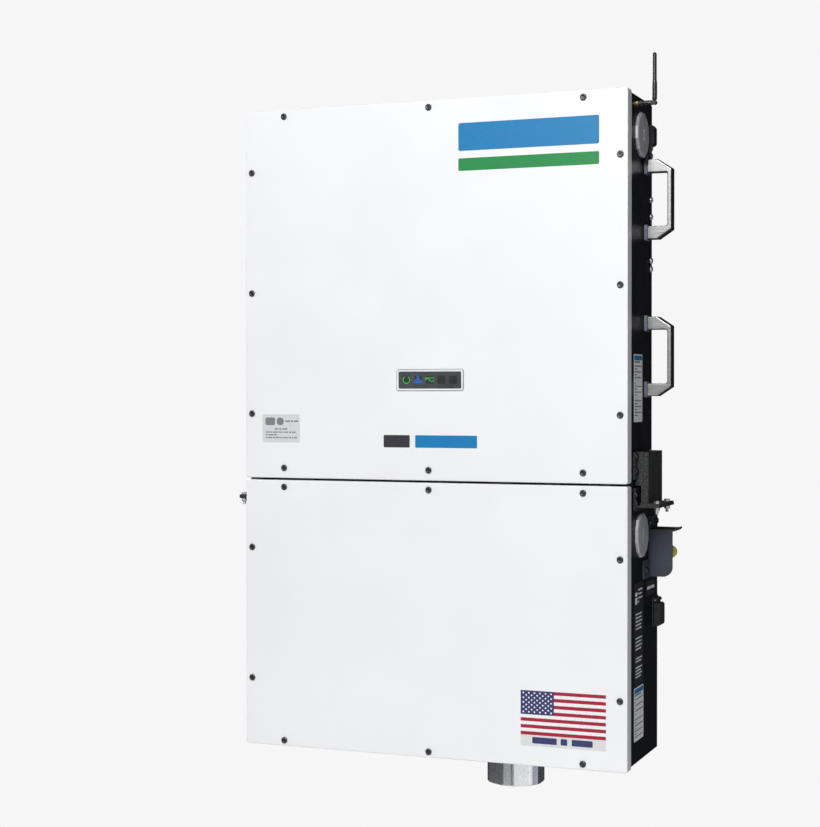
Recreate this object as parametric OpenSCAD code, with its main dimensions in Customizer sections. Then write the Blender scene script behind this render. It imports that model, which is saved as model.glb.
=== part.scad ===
// Wall-hung string inverter: a sealed power head above a deeper wiring box.
// Working axes inside the modules: X across, Y back from the front face,
// Z up from the bottom edge.  in_frame() moves them to the part's own frame,
// whose origin is the centre of the wall bracket's bolt pattern on the wall.

/* [Enclosure] */
// Width over the front covers
body_w = 620; // [600:1:640]
// Height over both front covers
body_h = 1000; // [990:1:1010]
// Distance from the front face to the wall
wall_y = 250; // [248:1:256]
// Depth of the power head's side wall
head_d = 155; // [150:1:158]
// Depth of the wiring box's side wall
box_d = 193; // [190:1:196]
// Height of the wiring box cover
box_cover_h = 418.5; // [416:0.5:420]
// Gap between the two covers
cover_gap = 3.5; // [3:0.5:4]
// Depth of a cover's return flange
flange_d = 22; // [20:1:24]
// Sheet thickness of the covers
cover_t = 1.5; // [1.2:0.1:1.5]
// Sheet thickness of the housings
wall_t = 2.5; // [2:0.5:2.5]
// Width of the sealing lip inside a housing's front edge
lip_w = 30; // [29:1:32]

/* [Cover screws] */
// Distance of the outer screw columns from the centre line
screw_col = 243; // [235:1:250]
// Distance of the side screws from a cover's edge
side_screw_in = 11; // [10:0.5:12]
// Heights of the power cover's side screws
power_side_z = [523, 713, 903];
// Heights of the wiring cover's side screws
wiring_side_z = [105, 312];
// Diameter of a cover screw's head
screw_head_d = 10; // [9:0.5:11]

/* [Display] */
// Width of the display bezel
bezel_w = 108; // [100:1:116]
// Height of the display bezel
bezel_h = 32; // [28:1:36]
// Height of the display's centre
display_z = 575; // [560:1:590]
// Distance between two indicator lights
led_pitch = 19; // [18:0.5:20]

/* [Handles] */
// Overall height of a handle
handle_h = 120; // [110:1:130]
// Distance a handle stands out from the wall
handle_out = 42; // [38:1:46]
// Depth of a handle's bar
handle_depth = 20; // [16:1:22]
// Heights of the handles' centres
handle_z = [610.5, 847.5];

/* [Side hardware] */
// Diameter of a conduit opening's plug
plug_d = 66; // [60:1:70]
// Heights of the plugs on the two housings
plug_z = [342, 941.5];
// Width over the bottom conduit hub's cut corners
hub_d = 88; // [86:1:92]
// Inner diameter of the bottom conduit hub
hub_bore_d = 63; // [56:1:66]
// Height of the disconnect switch's shaft
disconnect_z = 310; // [306:1:312]
// Height of the antenna's connector
antenna_z = 984.5; // [978:0.5:985]
// Length of the antenna's rod above its pivot
antenna_l = 74; // [60:1:90]

/* [Hidden] */

$fn = 64;
eps = 0.01;

// Height of the wall bracket's bolt pattern above the bottom edge
mount_z = 760;

// Covers and housings
cover_x = body_w / 2;
shell_gap = 0.5;
wall_x = cover_x - cover_t - shell_gap;
inner_x = wall_x - wall_t;
lip_x = wall_x - lip_w;
power_z0 = box_cover_h + cover_gap;
head_z0 = power_z0 + cover_t + shell_gap;
head_z1 = body_h - cover_t - shell_gap;
box_z0 = cover_t + shell_gap;
box_z1 = box_cover_h - cover_t - shell_gap;
lip_y = 5.5;
gasket_out = 20;
gasket_w = 7;
side_screw_x = cover_x - side_screw_in;

// Cover screw centres [x, z]
power_screws = concat([for (x = [-screw_col, 0, screw_col], z = [438, 989]) [x, z]],
    [for (s = [-1, 1], z = power_side_z) [s * side_screw_x, z]]);
wiring_screws = concat([for (x = [-screw_col, 0, screw_col], z = [9, 408]) [x, z]],
    [for (s = [-1, 1], z = wiring_side_z) [s * side_screw_x, z]]);
screw_r = 3;
screw_hole_r = 3.5;

// Rear cooling duct
duct_x = 270;
sink_x = 262;
sink_z0 = 510;
sink_z1 = 972;
sink_base = 10;
fin_t = 2.2;
fin_pitch = 12;
fin_end_y = 228;
duct_y1 = 232;
fan_size = 70;
fan_h = 25;
fan_y = 193;
fan_z = 441;
fan_x = [-150, 0, 150];
fan_pin_r = 2;

// Side hardware [y, z] on the wall plane
plug_y = 84;
handle_y0 = 105;
pad_t = 4.5;
antenna_y = 57.5;
antenna_x = wall_x + 27.5;
disconnect_y = 165;
bracket_side = [[47, 440], [47, 462]];
lower_bracket_side = [[47.5, 393], [47.5, 405]];
guard_side = [[137, 358], [177, 358], [112, 288]];
rear_edge_side = [[148, 745], [148, 758], [148, 825], [148, 851], [148, 918], [148, 930]];
joint_bolt_x = wall_x + 32.5;
joint_bolt_y = [54, 119];
joint_plate_z = 385.5;

// On/off switch
switch_y = 175;
switch_z = 214;
switch_hinge_x = wall_x + 5;
switch_hinge_z = 236;

// Bottom hub
hub_x = 107;
hub_y = 100;
hub_flats = hub_d - 5;
hub_bore_r = hub_bore_d / 2;
hub_drop = 47;

module in_frame() {
    translate([0, -wall_y, -mount_z]) children();
}

// Extrude an (x, z) outline from y0 to y1
module along_y(y0, y1) {
    translate([0, y1, 0]) rotate([90, 0, 0]) linear_extrude(y1 - y0) children();
}

// Extrude a (y, z) outline from x0 to x1
module along_x(x0, x1) {
    translate([x0, 0, 0]) rotate([90, 0, 90]) linear_extrude(x1 - x0) children();
}

module block(x0, x1, y0, y1, z0, z1) {
    translate([x0, y0, z0]) cube([x1 - x0, y1 - y0, z1 - z0]);
}

module rod_x(y, z, r, x0, x1) {
    translate([x0, y, z]) rotate([0, 90, 0]) cylinder(r = r, h = x1 - x0);
}

module rod_y(x, z, r, y0, y1) {
    translate([x, y0, z]) rotate([-90, 0, 0]) cylinder(r = r, h = y1 - y0);
}

module rod_z(x, y, r, z0, z1) {
    translate([x, y, z0]) cylinder(r = r, h = z1 - z0);
}

module hex_x(y, z, flats, x0, x1) {
    translate([x0, y, z]) rotate([0, 90, 0]) cylinder(d = flats / cos(30), h = x1 - x0, $fn = 6);
}

module hex_y(x, z, flats, y0, y1) {
    translate([x, y0, z]) rotate([-90, 0, 0]) cylinder(d = flats / cos(30), h = y1 - y0, $fn = 6);
}

// Rectangle from corner to corner with round corners
module round_rect(x0, x1, z0, z1, r) {
    translate([x0 + r, z0]) square([x1 - x0 - 2 * r, z1 - z0]);
    translate([x0, z0 + r]) square([x1 - x0, z1 - z0 - 2 * r]);
    for (x = [x0 + r, x1 - r], z = [z0 + r, z1 - r])
        translate([x, z]) circle(r);
}

module mirrored(side) {
    if (side > 0) children();
    else mirror([1, 0, 0]) children();
}

// Front cover: a sheet tray open at the back
module cover_tray(z0, z1, holes) {
    difference() {
        along_y(0, flange_d) round_rect(-cover_x, cover_x, z0, z1, 2);
        along_y(cover_t, flange_d + 1)
            round_rect(-cover_x + cover_t, cover_x - cover_t, z0 + cover_t, z1 - cover_t, 1);
        for (p = holes) rod_y(p[0], p[1], screw_hole_r, -1, cover_t + 1);
    }
}

// Housing: a sheet tub with an inward sealing lip and threaded bosses at the front
module housing_tub(z0, z1, depth, holes) {
    difference() {
        union() {
            difference() {
                along_y(lip_y, depth) round_rect(-wall_x, wall_x, z0, z1, 3);
                along_y(lip_y + wall_t, depth - wall_t)
                    round_rect(-inner_x, inner_x, z0 + wall_t, z1 - wall_t, 1);
                along_y(lip_y - 1, lip_y + wall_t + 1)
                    round_rect(-lip_x, lip_x, z0 + lip_w, z1 - lip_w, 6);
            }
            for (p = holes) rod_y(p[0], p[1], 5, lip_y + wall_t - 0.5, lip_y + 14);
        }
        for (p = holes) rod_y(p[0], p[1], screw_hole_r, lip_y - 1, lip_y + 15);
    }
}

module lip_gasket(z0, z1) {
    color("dimgray") along_y(cover_t, lip_y) difference() {
        round_rect(-wall_x + gasket_out, wall_x - gasket_out, z0 + gasket_out, z1 - gasket_out, 8);
        round_rect(-wall_x + gasket_out + gasket_w, wall_x - gasket_out - gasket_w,
            z0 + gasket_out + gasket_w, z1 - gasket_out - gasket_w, 5);
    }
}

// Socket-head screw driven along +Y into a cover
module cover_screw(x, z) {
    difference() {
        union() {
            rod_y(x, z, screw_head_d / 2, -1.6, 0);
            translate([x, -1.6, z]) rotate([90, 0, 0])
                cylinder(r1 = screw_head_d / 2, r2 = screw_head_d / 2 - 1, h = 1);
            rod_y(x, z, screw_r, -0.5, lip_y + 12);
        }
        hex_y(x, z, 4, -4, -0.8);
    }
}

// Cap screw driven out through a side wall into a handle's foot
module handle_screw(y, z) {
    difference() {
        union() {
            rod_x(y, z, 6.5, inner_x - 8, inner_x);
            rod_x(y, z, 3.9, inner_x - 0.5, wall_x + 16);
        }
        hex_x(y, z, 6, inner_x - 9, inner_x - 4);
    }
}

// Button-head screw driven into a side wall, head out to the right
module side_screw(y, z, x_seat) {
    difference() {
        union() {
            translate([x_seat, y, z]) rotate([0, 90, 0]) cylinder(r1 = 5, r2 = 3.2, h = 3);
            rod_x(y, z, 2.9, inner_x - 6, x_seat + 0.5);
        }
        hex_x(y, z, 3, x_seat + 1.2, x_seat + 4);
    }
}

module side_holes(points, r) {
    for (p = points) rod_x(p[0], p[1], r, inner_x - 3, wall_x + 3);
}

module wall_bracket() {
    color("silver") in_frame() difference() {
        union() {
            block(-275, 275, wall_y - 3, wall_y, mount_z - 75, mount_z + 75);
            block(-275, 275, wall_y - 12, wall_y, mount_z + 72, mount_z + 75);
            block(-275, 275, wall_y - 12, wall_y - 9, mount_z + 72, mount_z + 95);
            for (x = [-200, 0, 200])
                block(x - 1.5, x + 1.5, wall_y - 11, wall_y - 3, mount_z - 50, mount_z + 73);
        }
        for (x = [-220, 220], z = [-50, 50])
            rod_y(x, mount_z + z, 5.5, wall_y - 15, wall_y + 1);
        for (x = [-100, 100])
            along_y(wall_y - 5, wall_y + 1)
                round_rect(x - 60, x + 60, mount_z - 35, mount_z + 35, 10);
    }
}

module hanger_brackets() {
    color("silver") in_frame() {
        for (x = [-190, 190]) {
            block(x - 35, x + 35, duct_y1, duct_y1 + 2.5, mount_z + 20, mount_z + 97.5);
            block(x - 35, x + 35, duct_y1, wall_y - 5.5, mount_z + 95, mount_z + 97.5);
            block(x - 35, x + 35, wall_y - 8, wall_y - 5.5, mount_z + 80, mount_z + 97.5);
        }
        for (x = [-200, 200]) difference() {
            union() {
                block(x - 30, x + 30, box_d, box_d + 2.5, 50, 120);
                block(x - 30, x + 30, box_d, wall_y, 50, 52.5);
                block(x - 30, x + 30, wall_y - 2.5, wall_y, 20, 52.5);
            }
            rod_y(x, 35, 4.5, wall_y - 4, wall_y + 1);
        }
    }
}

module power_head_housing() {
    color("#14161a") in_frame() difference() {
        housing_tub(head_z0, head_z1, head_d, power_screws);
        along_y(head_d - wall_t - 1, head_d + 1)
            round_rect(-236, 236, 530, 950, 10);
        block(-130, 130, 60, 130, head_z0 - 1, head_z0 + wall_t + 1);
        for (side = [-1, 1]) mirrored(side) {
            rod_x(plug_y, plug_z[1], 27, inner_x - 1, wall_x + 1);
            side_holes(bracket_side, 3);
            side_holes(rear_edge_side, 3);
            for (zc = handle_z, s = [-1, 1])
                rod_x(handle_y0 + handle_depth / 2, zc + s * (handle_h / 2 - 10), 4.2,
                    inner_x - 1, wall_x + 1);
        }
        rod_x(antenna_y, antenna_z, 3.3, inner_x - 1, wall_x + 1);
        block(inner_x - 1, wall_x + 1, 128, 138, 940, 956);
        for (x = fan_x) rod_y(x, 490, 6, head_d - wall_t - 1, head_d + 1);
    }
}

module power_head_cover() {
    color("white") in_frame() difference() {
        cover_tray(power_z0, body_h, power_screws);
        along_y(-1, cover_t + 1)
            round_rect(2 - bezel_w / 2 + 4, 2 + bezel_w / 2 - 4,
                display_z - bezel_h / 2 + 4, display_z + bezel_h / 2 - 4, 1.5);
    }
}

module power_head_gasket() {
    in_frame() lip_gasket(head_z0, head_z1);
}

module power_cover_screws() {
    color("#2a2c30") in_frame() for (p = power_screws) cover_screw(p[0], p[1]);
}

module display_bezel() {
    color("gainsboro") in_frame() difference() {
        union() {
            along_y(-1.5, 0) round_rect(2 - bezel_w / 2, 2 + bezel_w / 2,
                display_z - bezel_h / 2, display_z + bezel_h / 2, 3);
            along_y(-0.5, 4.5) round_rect(2 - bezel_w / 2 + 4.1, 2 + bezel_w / 2 - 4.1,
                display_z - bezel_h / 2 + 4.1, display_z + bezel_h / 2 - 4.1, 1.4);
        }
        along_y(-2, -0.4) round_rect(2 - bezel_w / 2 + 3, 2 + bezel_w / 2 - 3,
            display_z - bezel_h / 2 + 3, display_z + bezel_h / 2 - 3, 2);
        along_y(-1, 6) round_rect(2 - bezel_w / 2 + 6, 2 + bezel_w / 2 - 6,
            display_z - bezel_h / 2 + 6, display_z + bezel_h / 2 - 6, 1);
    }
}

module display_window() {
    color("#4a4c4e", 0.8) in_frame() along_y(-1.1, -0.4)
        round_rect(2 - bezel_w / 2 + 3.1, 2 + bezel_w / 2 - 3.1,
            display_z - bezel_h / 2 + 3.1, display_z + bezel_h / 2 - 3.1, 1.9);
}

module display_board() {
    color("darkgreen") in_frame() {
        block(2 - 56, 2 + 56, 4.5, 6.1, display_z - 18, display_z + 18);
        block(-20, 24, 6.1, 9, display_z - 8, display_z + 8);
        block(30, 48, 6.1, 14, display_z - 6, display_z + 6);
    }
}

module indicator_leds() {
    color("limegreen") in_frame() for (i = [-2:2])
        along_y(2.2, 4.5) round_rect(2 + i * led_pitch - 5, 2 + i * led_pitch + 5,
            display_z - 5, display_z + 5, 1);
}

module heat_sink() {
    color("silver") in_frame() difference() {
        translate([0, 0, sink_z0]) linear_extrude(sink_z1 - sink_z0) {
            translate([-sink_x, head_d]) square([2 * sink_x, sink_base]);
            for (x = [-252:fin_pitch:252])
                translate([x - fin_t / 2, head_d + sink_base - 1])
                    square([fin_t, fin_end_y - head_d - sink_base + 1]);
        }
        for (x = [-256, 256], z = [sink_z0 + 8, sink_z1 - 8])
            rod_y(x, z, 2.6, head_d - 1, head_d + sink_base + 1);
    }
}

module heat_sink_shroud() {
    color("#1b1d21") in_frame() difference() {
        union() {
            block(-duct_x, duct_x, duct_y1 - 2, duct_y1, 470, 975);
            for (s = [-1, 1]) mirrored(s) {
                block(duct_x - 2, duct_x, head_d, duct_y1, 430, 975);
                block(duct_x - 2, duct_x + 20, head_d, head_d + 2, 430, 975);
            }
            block(-duct_x, duct_x, duct_y1 - 2, duct_y1, 430, 471);
        }
        for (i = [0:9]) along_y(duct_y1 - 3, duct_y1 + 1)
            round_rect(-225 + i * 50 - 15, -225 + i * 50 + 15, 484, 492, 3.9);
    }
}

module fan_tray() {
    color("silver") in_frame() difference() {
        union() {
            block(-duct_x + 2, duct_x - 2, head_d, duct_y1 - 2, fan_z + fan_h, fan_z + fan_h + 2);
            block(-duct_x + 2, duct_x - 2, duct_y1 - 4, duct_y1 - 2, fan_z + fan_h, fan_z + fan_h + 14);
        }
        for (x = fan_x) rod_z(x, fan_y, fan_size / 2 - 2, fan_z + fan_h - 1, fan_z + fan_h + 3);
        for (x = fan_x, sx = [-1, 1], sy = [-1, 1])
            rod_z(x + sx * 30, fan_y + sy * 30, 2.2, fan_z + fan_h - 1, fan_z + fan_h + 3);
    }
}

module fan_frame(x) {
    difference() {
        translate([0, 0, fan_z]) linear_extrude(fan_h)
            round_rect(x - fan_size / 2, x + fan_size / 2, fan_y - fan_size / 2,
                fan_y + fan_size / 2, 4);
        rod_z(x, fan_y, fan_size / 2 - 2, fan_z - 1, fan_z + fan_h + 1);
        for (sx = [-1, 1], sy = [-1, 1])
            rod_z(x + sx * 30, fan_y + sy * 30, 2.2, fan_z - 1, fan_z + fan_h + 1);
    }
    rod_z(x, fan_y, 14, fan_z, fan_z + 3);
    rod_z(x, fan_y, fan_pin_r, fan_z + 2, fan_z + 20);
    for (a = [45:90:315]) translate([x, fan_y, fan_z]) rotate([0, 0, a])
        translate([12, -1.5, 0]) cube([fan_size / 2 - 12, 3, 3]);
}

module fan_frames() {
    color("#202020") in_frame() for (x = fan_x) fan_frame(x);
}

module fan_rotor(x) {
    color("#2c2c2c") in_frame() difference() {
        union() {
            rod_z(x, fan_y, 14, fan_z + 4, fan_z + 22);
            intersection() {
                rod_z(x, fan_y, fan_size / 2 - 4, fan_z + 4, fan_z + 23);
                translate([x, fan_y, fan_z + 13]) for (a = [0:360 / 7:359])
                    rotate([0, 0, a]) translate([12, 0, 0]) rotate([38, 0, 0])
                        translate([0, -11, -0.8]) cube([24, 22, 1.6]);
            }
        }
        rod_z(x, fan_y, fan_pin_r + 0.05, fan_z + 3, fan_z + 20.1);
    }
}

module fan_rotor_left() {
    fan_rotor(fan_x[0]);
}

module fan_rotor_centre() {
    fan_rotor(fan_x[1]);
}

module fan_rotor_right() {
    fan_rotor(fan_x[2]);
}

module power_board() {
    color("darkgreen") in_frame() {
        difference() {
            block(-255, 255, 118, 120, 500, 930);
            for (x = [-246, 246], z = [512, 918]) rod_y(x, z, 2.2, 117, 121);
        }
        for (x = [-246, 246], z = [512, 918]) rod_y(x, z, 5, 120, head_d - wall_t);
        for (i = [0:5]) block(-212 + i * 80, -188 + i * 80, 108, 118, 640, 664);
        for (i = [0:8]) rod_y(-200 + i * 50, 690, 5, 104, 118);
    }
}

module power_modules() {
    color("#d8d4c8") in_frame() for (i = [0:5]) {
        block(-232 + i * 80, -168 + i * 80, 141, head_d, 600, 648);
        for (j = [0:4]) block(-226 + i * 80 + j * 12, -223 + i * 80 + j * 12, 120, 141, 606, 612);
    }
}

module dc_link_capacitors() {
    color("#27303c") in_frame() for (i = [0:9], j = [0:2])
        rod_y(-225 + i * 50, 760 + j * 55, 21, 70, 118);
}

module boost_inductors() {
    color("#8a4b22") in_frame() for (i = [0:3])
        translate([-180 + i * 120, 101, 560]) rotate([90, 0, 0])
            rotate_extrude() translate([28, 0]) round_rect(-13, 13, -17, 17, 5);
}

module filter_chokes() {
    z0 = head_z0 + wall_t;
    color("#5a5148") in_frame() for (x = [-205, 205]) {
        difference() {
            block(x - 60, x + 60, 40, 100, z0, z0 + 56);
            for (dx = [-25, 25])
                block(x + dx - 9, x + dx + 9, 39, 101, z0 + 14, z0 + 42);
        }
        for (dx = [-45, 0, 45])
            block(x + dx - 11, x + dx + 11, 34, 106, z0 + 15, z0 + 41);
    }
}

module control_board() {
    color("#1d5c38") in_frame() {
        difference() {
            block(-160, 160, 50, 51.6, 600, 740);
            for (x = [-152, 152], z = [608, 732]) rod_y(x, z, 1.8, 49, 53);
        }
        for (x = [-152, 152], z = [608, 732]) rod_y(x, z, 4, 51.6, 118);
        block(-60, -20, 46.8, 50, 660, 700);
        block(20, 40, 47.4, 50, 680, 700);
        for (i = [0:5]) block(-140 + i * 46, -112 + i * 46, 38, 50, 604, 616);
        block(90, 140, 42, 50, 650, 680);
    }
}

module wiring_box_housing() {
    color("#14161a") in_frame() difference() {
        housing_tub(box_z0, box_z1, box_d, wiring_screws);
        block(-130, 130, 60, 130, box_z1 - wall_t - 1, box_z1 + 1);
        for (side = [-1, 1]) mirrored(side) {
            rod_x(plug_y, plug_z[0], 27, inner_x - 1, wall_x + 1);
            side_holes(lower_bracket_side, 3);
        }
        side_holes(guard_side, 3);
        rod_x(disconnect_y, disconnect_z, 12, inner_x - 1, wall_x + 1);
        block(inner_x - 1, wall_x + 1, switch_y - 10.5, switch_y + 10.5, switch_z - 14, switch_z + 14);
        rod_z(hub_x, hub_y, 38.5, box_z0 - 1, box_z0 + wall_t + 1);
    }
}

module wiring_box_cover() {
    color("white") in_frame() cover_tray(0, box_cover_h, wiring_screws);
}

module wiring_box_gasket() {
    in_frame() lip_gasket(box_z0, box_z1);
}

module wiring_cover_screws() {
    color("#2a2c30") in_frame() for (p = wiring_screws) cover_screw(p[0], p[1]);
}

// Sealed frame around the cable passage between the two housings
module joining_collar() {
    color("#303338") in_frame() difference() {
        block(3 - wall_x, wall_x - 3, 25, 150, box_z1, head_z0);
        block(-128, 128, 62, 128, box_z1 - 1, head_z0 + 1);
    }
}

module joint_bracket_upper(side) {
    color("#2b2d2f") in_frame() mirrored(side) difference() {
        union() {
            block(wall_x, wall_x + 3, 40, 56, 427, 468);
            block(wall_x, wall_x + 20, 53, 56, 418, 468);
            block(wall_x + 9, wall_x + 20, 53, 56, joint_plate_z + 3, 418 + eps);
            block(wall_x + 17, wall_x + 20, 53, 140, joint_plate_z + 3, 468);
            block(wall_x, wall_x + 20, 137, 140, 427, 468);
            block(wall_x + 9, wall_x + 38, 47, 140, joint_plate_z + 3, joint_plate_z + 6);
        }
        side_holes(bracket_side, 3);
        for (y = joint_bolt_y) rod_z(joint_bolt_x, y, 2.8, joint_plate_z, joint_plate_z + 8);
    }
}

module joint_bracket_upper_right() {
    joint_bracket_upper(1);
}

module joint_bracket_upper_left() {
    joint_bracket_upper(-1);
}

module joint_bracket_lower(side) {
    color("#2b2d2f") in_frame() mirrored(side) difference() {
        union() {
            block(wall_x, wall_x + 3, 42, 136, joint_plate_z - 5, 414);
            block(wall_x, wall_x + 38, 47, 142, joint_plate_z, joint_plate_z + 3);
        }
        side_holes(lower_bracket_side, 3);
        for (y = joint_bolt_y) rod_z(joint_bolt_x, y, 2.8, joint_plate_z - 2, joint_plate_z + 5);
    }
}

module joint_bracket_lower_right() {
    joint_bracket_lower(1);
}

module joint_bracket_lower_left() {
    joint_bracket_lower(-1);
}

module joint_bolt(x, y) {
    translate([x, y, joint_plate_z + 6]) {
        cylinder(r = 5, h = 1);
        translate([0, 0, 1 - eps]) cylinder(d = 8 / cos(30), h = 3, $fn = 6);
        translate([0, 0, -16]) cylinder(r = 2.5, h = 16 + eps);
        translate([0, 0, -7]) cylinder(r = 5, h = 1);
        translate([0, 0, -11]) cylinder(d = 8 / cos(30), h = 4 + eps, $fn = 6);
    }
}

module joint_bolts() {
    color("silver") in_frame() for (side = [-1, 1], y = joint_bolt_y)
        joint_bolt(side * joint_bolt_x, y);
}

module side_screws() {
    color("silver") in_frame() {
        for (side = [-1, 1]) mirrored(side) {
            for (p = bracket_side) side_screw(p[0], p[1], wall_x + 3);
            for (p = lower_bracket_side) side_screw(p[0], p[1], wall_x + 3);
            for (p = rear_edge_side) side_screw(p[0], p[1], wall_x);
            for (zc = handle_z, s = [-1, 1])
                handle_screw(handle_y0 + handle_depth / 2, zc + s * (handle_h / 2 - 10));
        }
        for (p = guard_side) side_screw(p[0], p[1], wall_x + 2.5);
    }
}

// Lift handle: two legs and a grip in one bar, on two foot pads
module handle(side, zc) {
    color("gainsboro") in_frame() mirrored(side) difference() {
        union() {
            handle_bar(zc);
            for (s = [-1, 1]) block(wall_x, wall_x + pad_t, handle_y0, handle_y0 + handle_depth,
                zc + s * (handle_h / 2 - 10) - 12, zc + s * (handle_h / 2 - 10) + 12);
        }
        for (s = [-1, 1]) rod_x(handle_y0 + handle_depth / 2, zc + s * (handle_h / 2 - 10), 4,
            wall_x - 1, wall_x + 18);
    }
}

module handle_bar(zc) {
    h = handle_h / 2;
    out = wall_x + handle_out;
    leg = 19.5;
    cut_x = 21;
    cut_z = 14;
    grip = 6.5;
    foot = wall_x + pad_t - eps;
    along_y(handle_y0, handle_y0 + handle_depth) translate([0, zc]) difference() {
        polygon([[foot, -h], [out - cut_x, -h], [out, -h + cut_z], [out, h - cut_z],
            [out - cut_x, h], [foot, h]]);
        polygon([[foot - 1, -h + leg], [out - grip - 2, -h + leg], [out - grip, -h + leg + 2],
            [out - grip, h - leg - 2], [out - grip - 2, h - leg], [foot - 1, h - leg]]);
    }
}

module handle_upper_right() {
    handle(1, handle_z[1]);
}

module handle_upper_left() {
    handle(-1, handle_z[1]);
}

module handle_lower_right() {
    handle(1, handle_z[0]);
}

module handle_lower_left() {
    handle(-1, handle_z[0]);
}

// Conduit opening plug: faceted head outside, round neck and ring nut inside
module conduit_plug(side, z) {
    color("lightgray") in_frame() mirrored(side) difference() {
        union() {
            translate([wall_x, plug_y, z]) rotate([0, 90, 0]) rotate([0, 0, 15]) {
                cylinder(d = plug_d / cos(15), h = 4, $fn = 12);
                translate([0, 0, 4 - eps])
                    cylinder(d1 = plug_d / cos(15), d2 = plug_d / cos(15) - 5, h = 1.2, $fn = 12);
            }
            rod_x(plug_y, z, 26.5, inner_x - 7, wall_x + 1);
            rod_x(plug_y, z, 32, inner_x - 5, inner_x);
        }
        rod_x(plug_y, z, 22, inner_x - 8, wall_x + 2);
    }
}

module plug_upper_right() {
    conduit_plug(1, plug_z[1]);
}

module plug_upper_left() {
    conduit_plug(-1, plug_z[1]);
}

module plug_lower_right() {
    conduit_plug(1, plug_z[0]);
}

module plug_lower_left() {
    conduit_plug(-1, plug_z[0]);
}

module conduit_hub() {
    color("lightgray") in_frame() translate([hub_x, hub_y, 0]) difference() {
        union() {
            translate([0, 0, -hub_drop]) linear_extrude(hub_drop + box_z0) intersection() {
                rotate(30) circle(d = hub_flats / cos(30), $fn = 6);
                circle(d = hub_d / cos(30), $fn = 6);
            }
            cylinder(r = 38, h = 18);
        }
        translate([0, 0, -hub_drop - 1]) cylinder(r = hub_bore_r, h = hub_drop + 30);
        translate([0, 0, -hub_drop - 1]) cylinder(r = hub_bore_r + 5, h = 23);
    }
}

module hub_locknut() {
    color("silver") in_frame() translate([hub_x, hub_y, box_z0 + wall_t]) difference() {
        cylinder(r = 47, h = 6, $fn = 8);
        translate([0, 0, -1]) cylinder(r = 38.05, h = 8);
    }
}

module antenna_connector() {
    color("goldenrod") in_frame() {
        rod_x(antenna_y, antenna_z, 3.2, inner_x - 10, wall_x + 8);
        hex_x(antenna_y, antenna_z, 8, wall_x, wall_x + 2.5);
        hex_x(antenna_y, antenna_z, 8, inner_x - 3, inner_x);
        rod_x(antenna_y, antenna_z, 1.6, wall_x + 7, wall_x + 19);
    }
}

module antenna_elbow() {
    color("#30343a") in_frame() difference() {
        union() {
            rod_x(antenna_y, antenna_z, 3.9, wall_x + 3, antenna_x - 5);
            rod_x(antenna_y, antenna_z, 4.2, wall_x + 3, wall_x + 11);
            block(antenna_x - 6, antenna_x, antenna_y - 3.6, antenna_y + 3.6,
                antenna_z - 3, antenna_z + 3);
            rod_y(antenna_x, antenna_z, 3.6, antenna_y - 3.6, antenna_y + 3.6);
        }
        rod_x(antenna_y, antenna_z, 3.25, wall_x + 2, wall_x + 8.5);
        rod_x(antenna_y, antenna_z, 1.65, wall_x + 8, wall_x + 19.5);
        block(antenna_x - 4.6, antenna_x + 5, antenna_y - 1.9, antenna_y + 1.9,
            antenna_z - 5, antenna_z + 5);
    }
    color("silver") in_frame() rod_y(antenna_x, antenna_z, 1, antenna_y - 3, antenna_y + 3);
}

module antenna_rod() {
    color("#3c4048") in_frame() difference() {
        union() {
            rod_y(antenna_x, antenna_z, 3.4, antenna_y - 1.6, antenna_y + 1.6);
            block(antenna_x - 2.5, antenna_x + 2.5, antenna_y - 1.6, antenna_y + 1.6,
                antenna_z, antenna_z + 6);
            rod_z(antenna_x, antenna_y, 3.7, antenna_z + 4.5, antenna_z + 29);
            translate([antenna_x, antenna_y, antenna_z + 29 - eps])
                cylinder(r1 = 3.7, r2 = 3.1, h = 5);
            rod_z(antenna_x, antenna_y, 3.1, antenna_z + 33, antenna_z + antenna_l - 3.1);
            translate([antenna_x, antenna_y, antenna_z + antenna_l - 3.1]) sphere(3.1);
        }
        rod_y(antenna_x, antenna_z, 1.05, antenna_y - 3, antenna_y + 3);
    }
}

// Rubber cover over the data port, with its retaining strap
module port_cover() {
    color("#202226") in_frame() {
        along_y(124, 142) polygon([[wall_x, 931], [wall_x + 8.5, 931], [wall_x + 11, 934],
            [wall_x + 11, 958], [wall_x + 8, 962], [wall_x, 962]]);
        block(inner_x - 4, wall_x + eps, 128.3, 137.7, 940.3, 955.7);
        block(wall_x + 2, wall_x + 7, 124, 126.2, 911.2, 931 + eps);
        block(wall_x + 2, wall_x + 7, 102.2, 126.2, 911.2, 913.4);
        along_y(102.2, 104.6) polygon([[wall_x + 2, 913.4], [wall_x + 2, 902], [wall_x + 4.5, 897],
            [wall_x + 7, 902], [wall_x + 7, 913.4]]);
    }
}

module disconnect_switch() {
    color("#3b3e42") in_frame() difference() {
        union() {
            block(inner_x - 62, inner_x, 138, 188, disconnect_z - 30, disconnect_z + 30);
            for (z = [-22, 0, 22], x = [-50, -34])
                block(inner_x + x, inner_x + x + 10, 126, 138 + eps,
                    disconnect_z + z - 7, disconnect_z + z + 7);
            rod_x(disconnect_y, disconnect_z, 11, inner_x - 1, wall_x);
        }
        rod_x(disconnect_y, disconnect_z, 4.05, inner_x - 30, wall_x + 1);
    }
}

module disconnect_shaft() {
    color("silver") in_frame() {
        rod_x(disconnect_y, disconnect_z, 4, inner_x - 29.5, wall_x + 12);
    }
}

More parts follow.
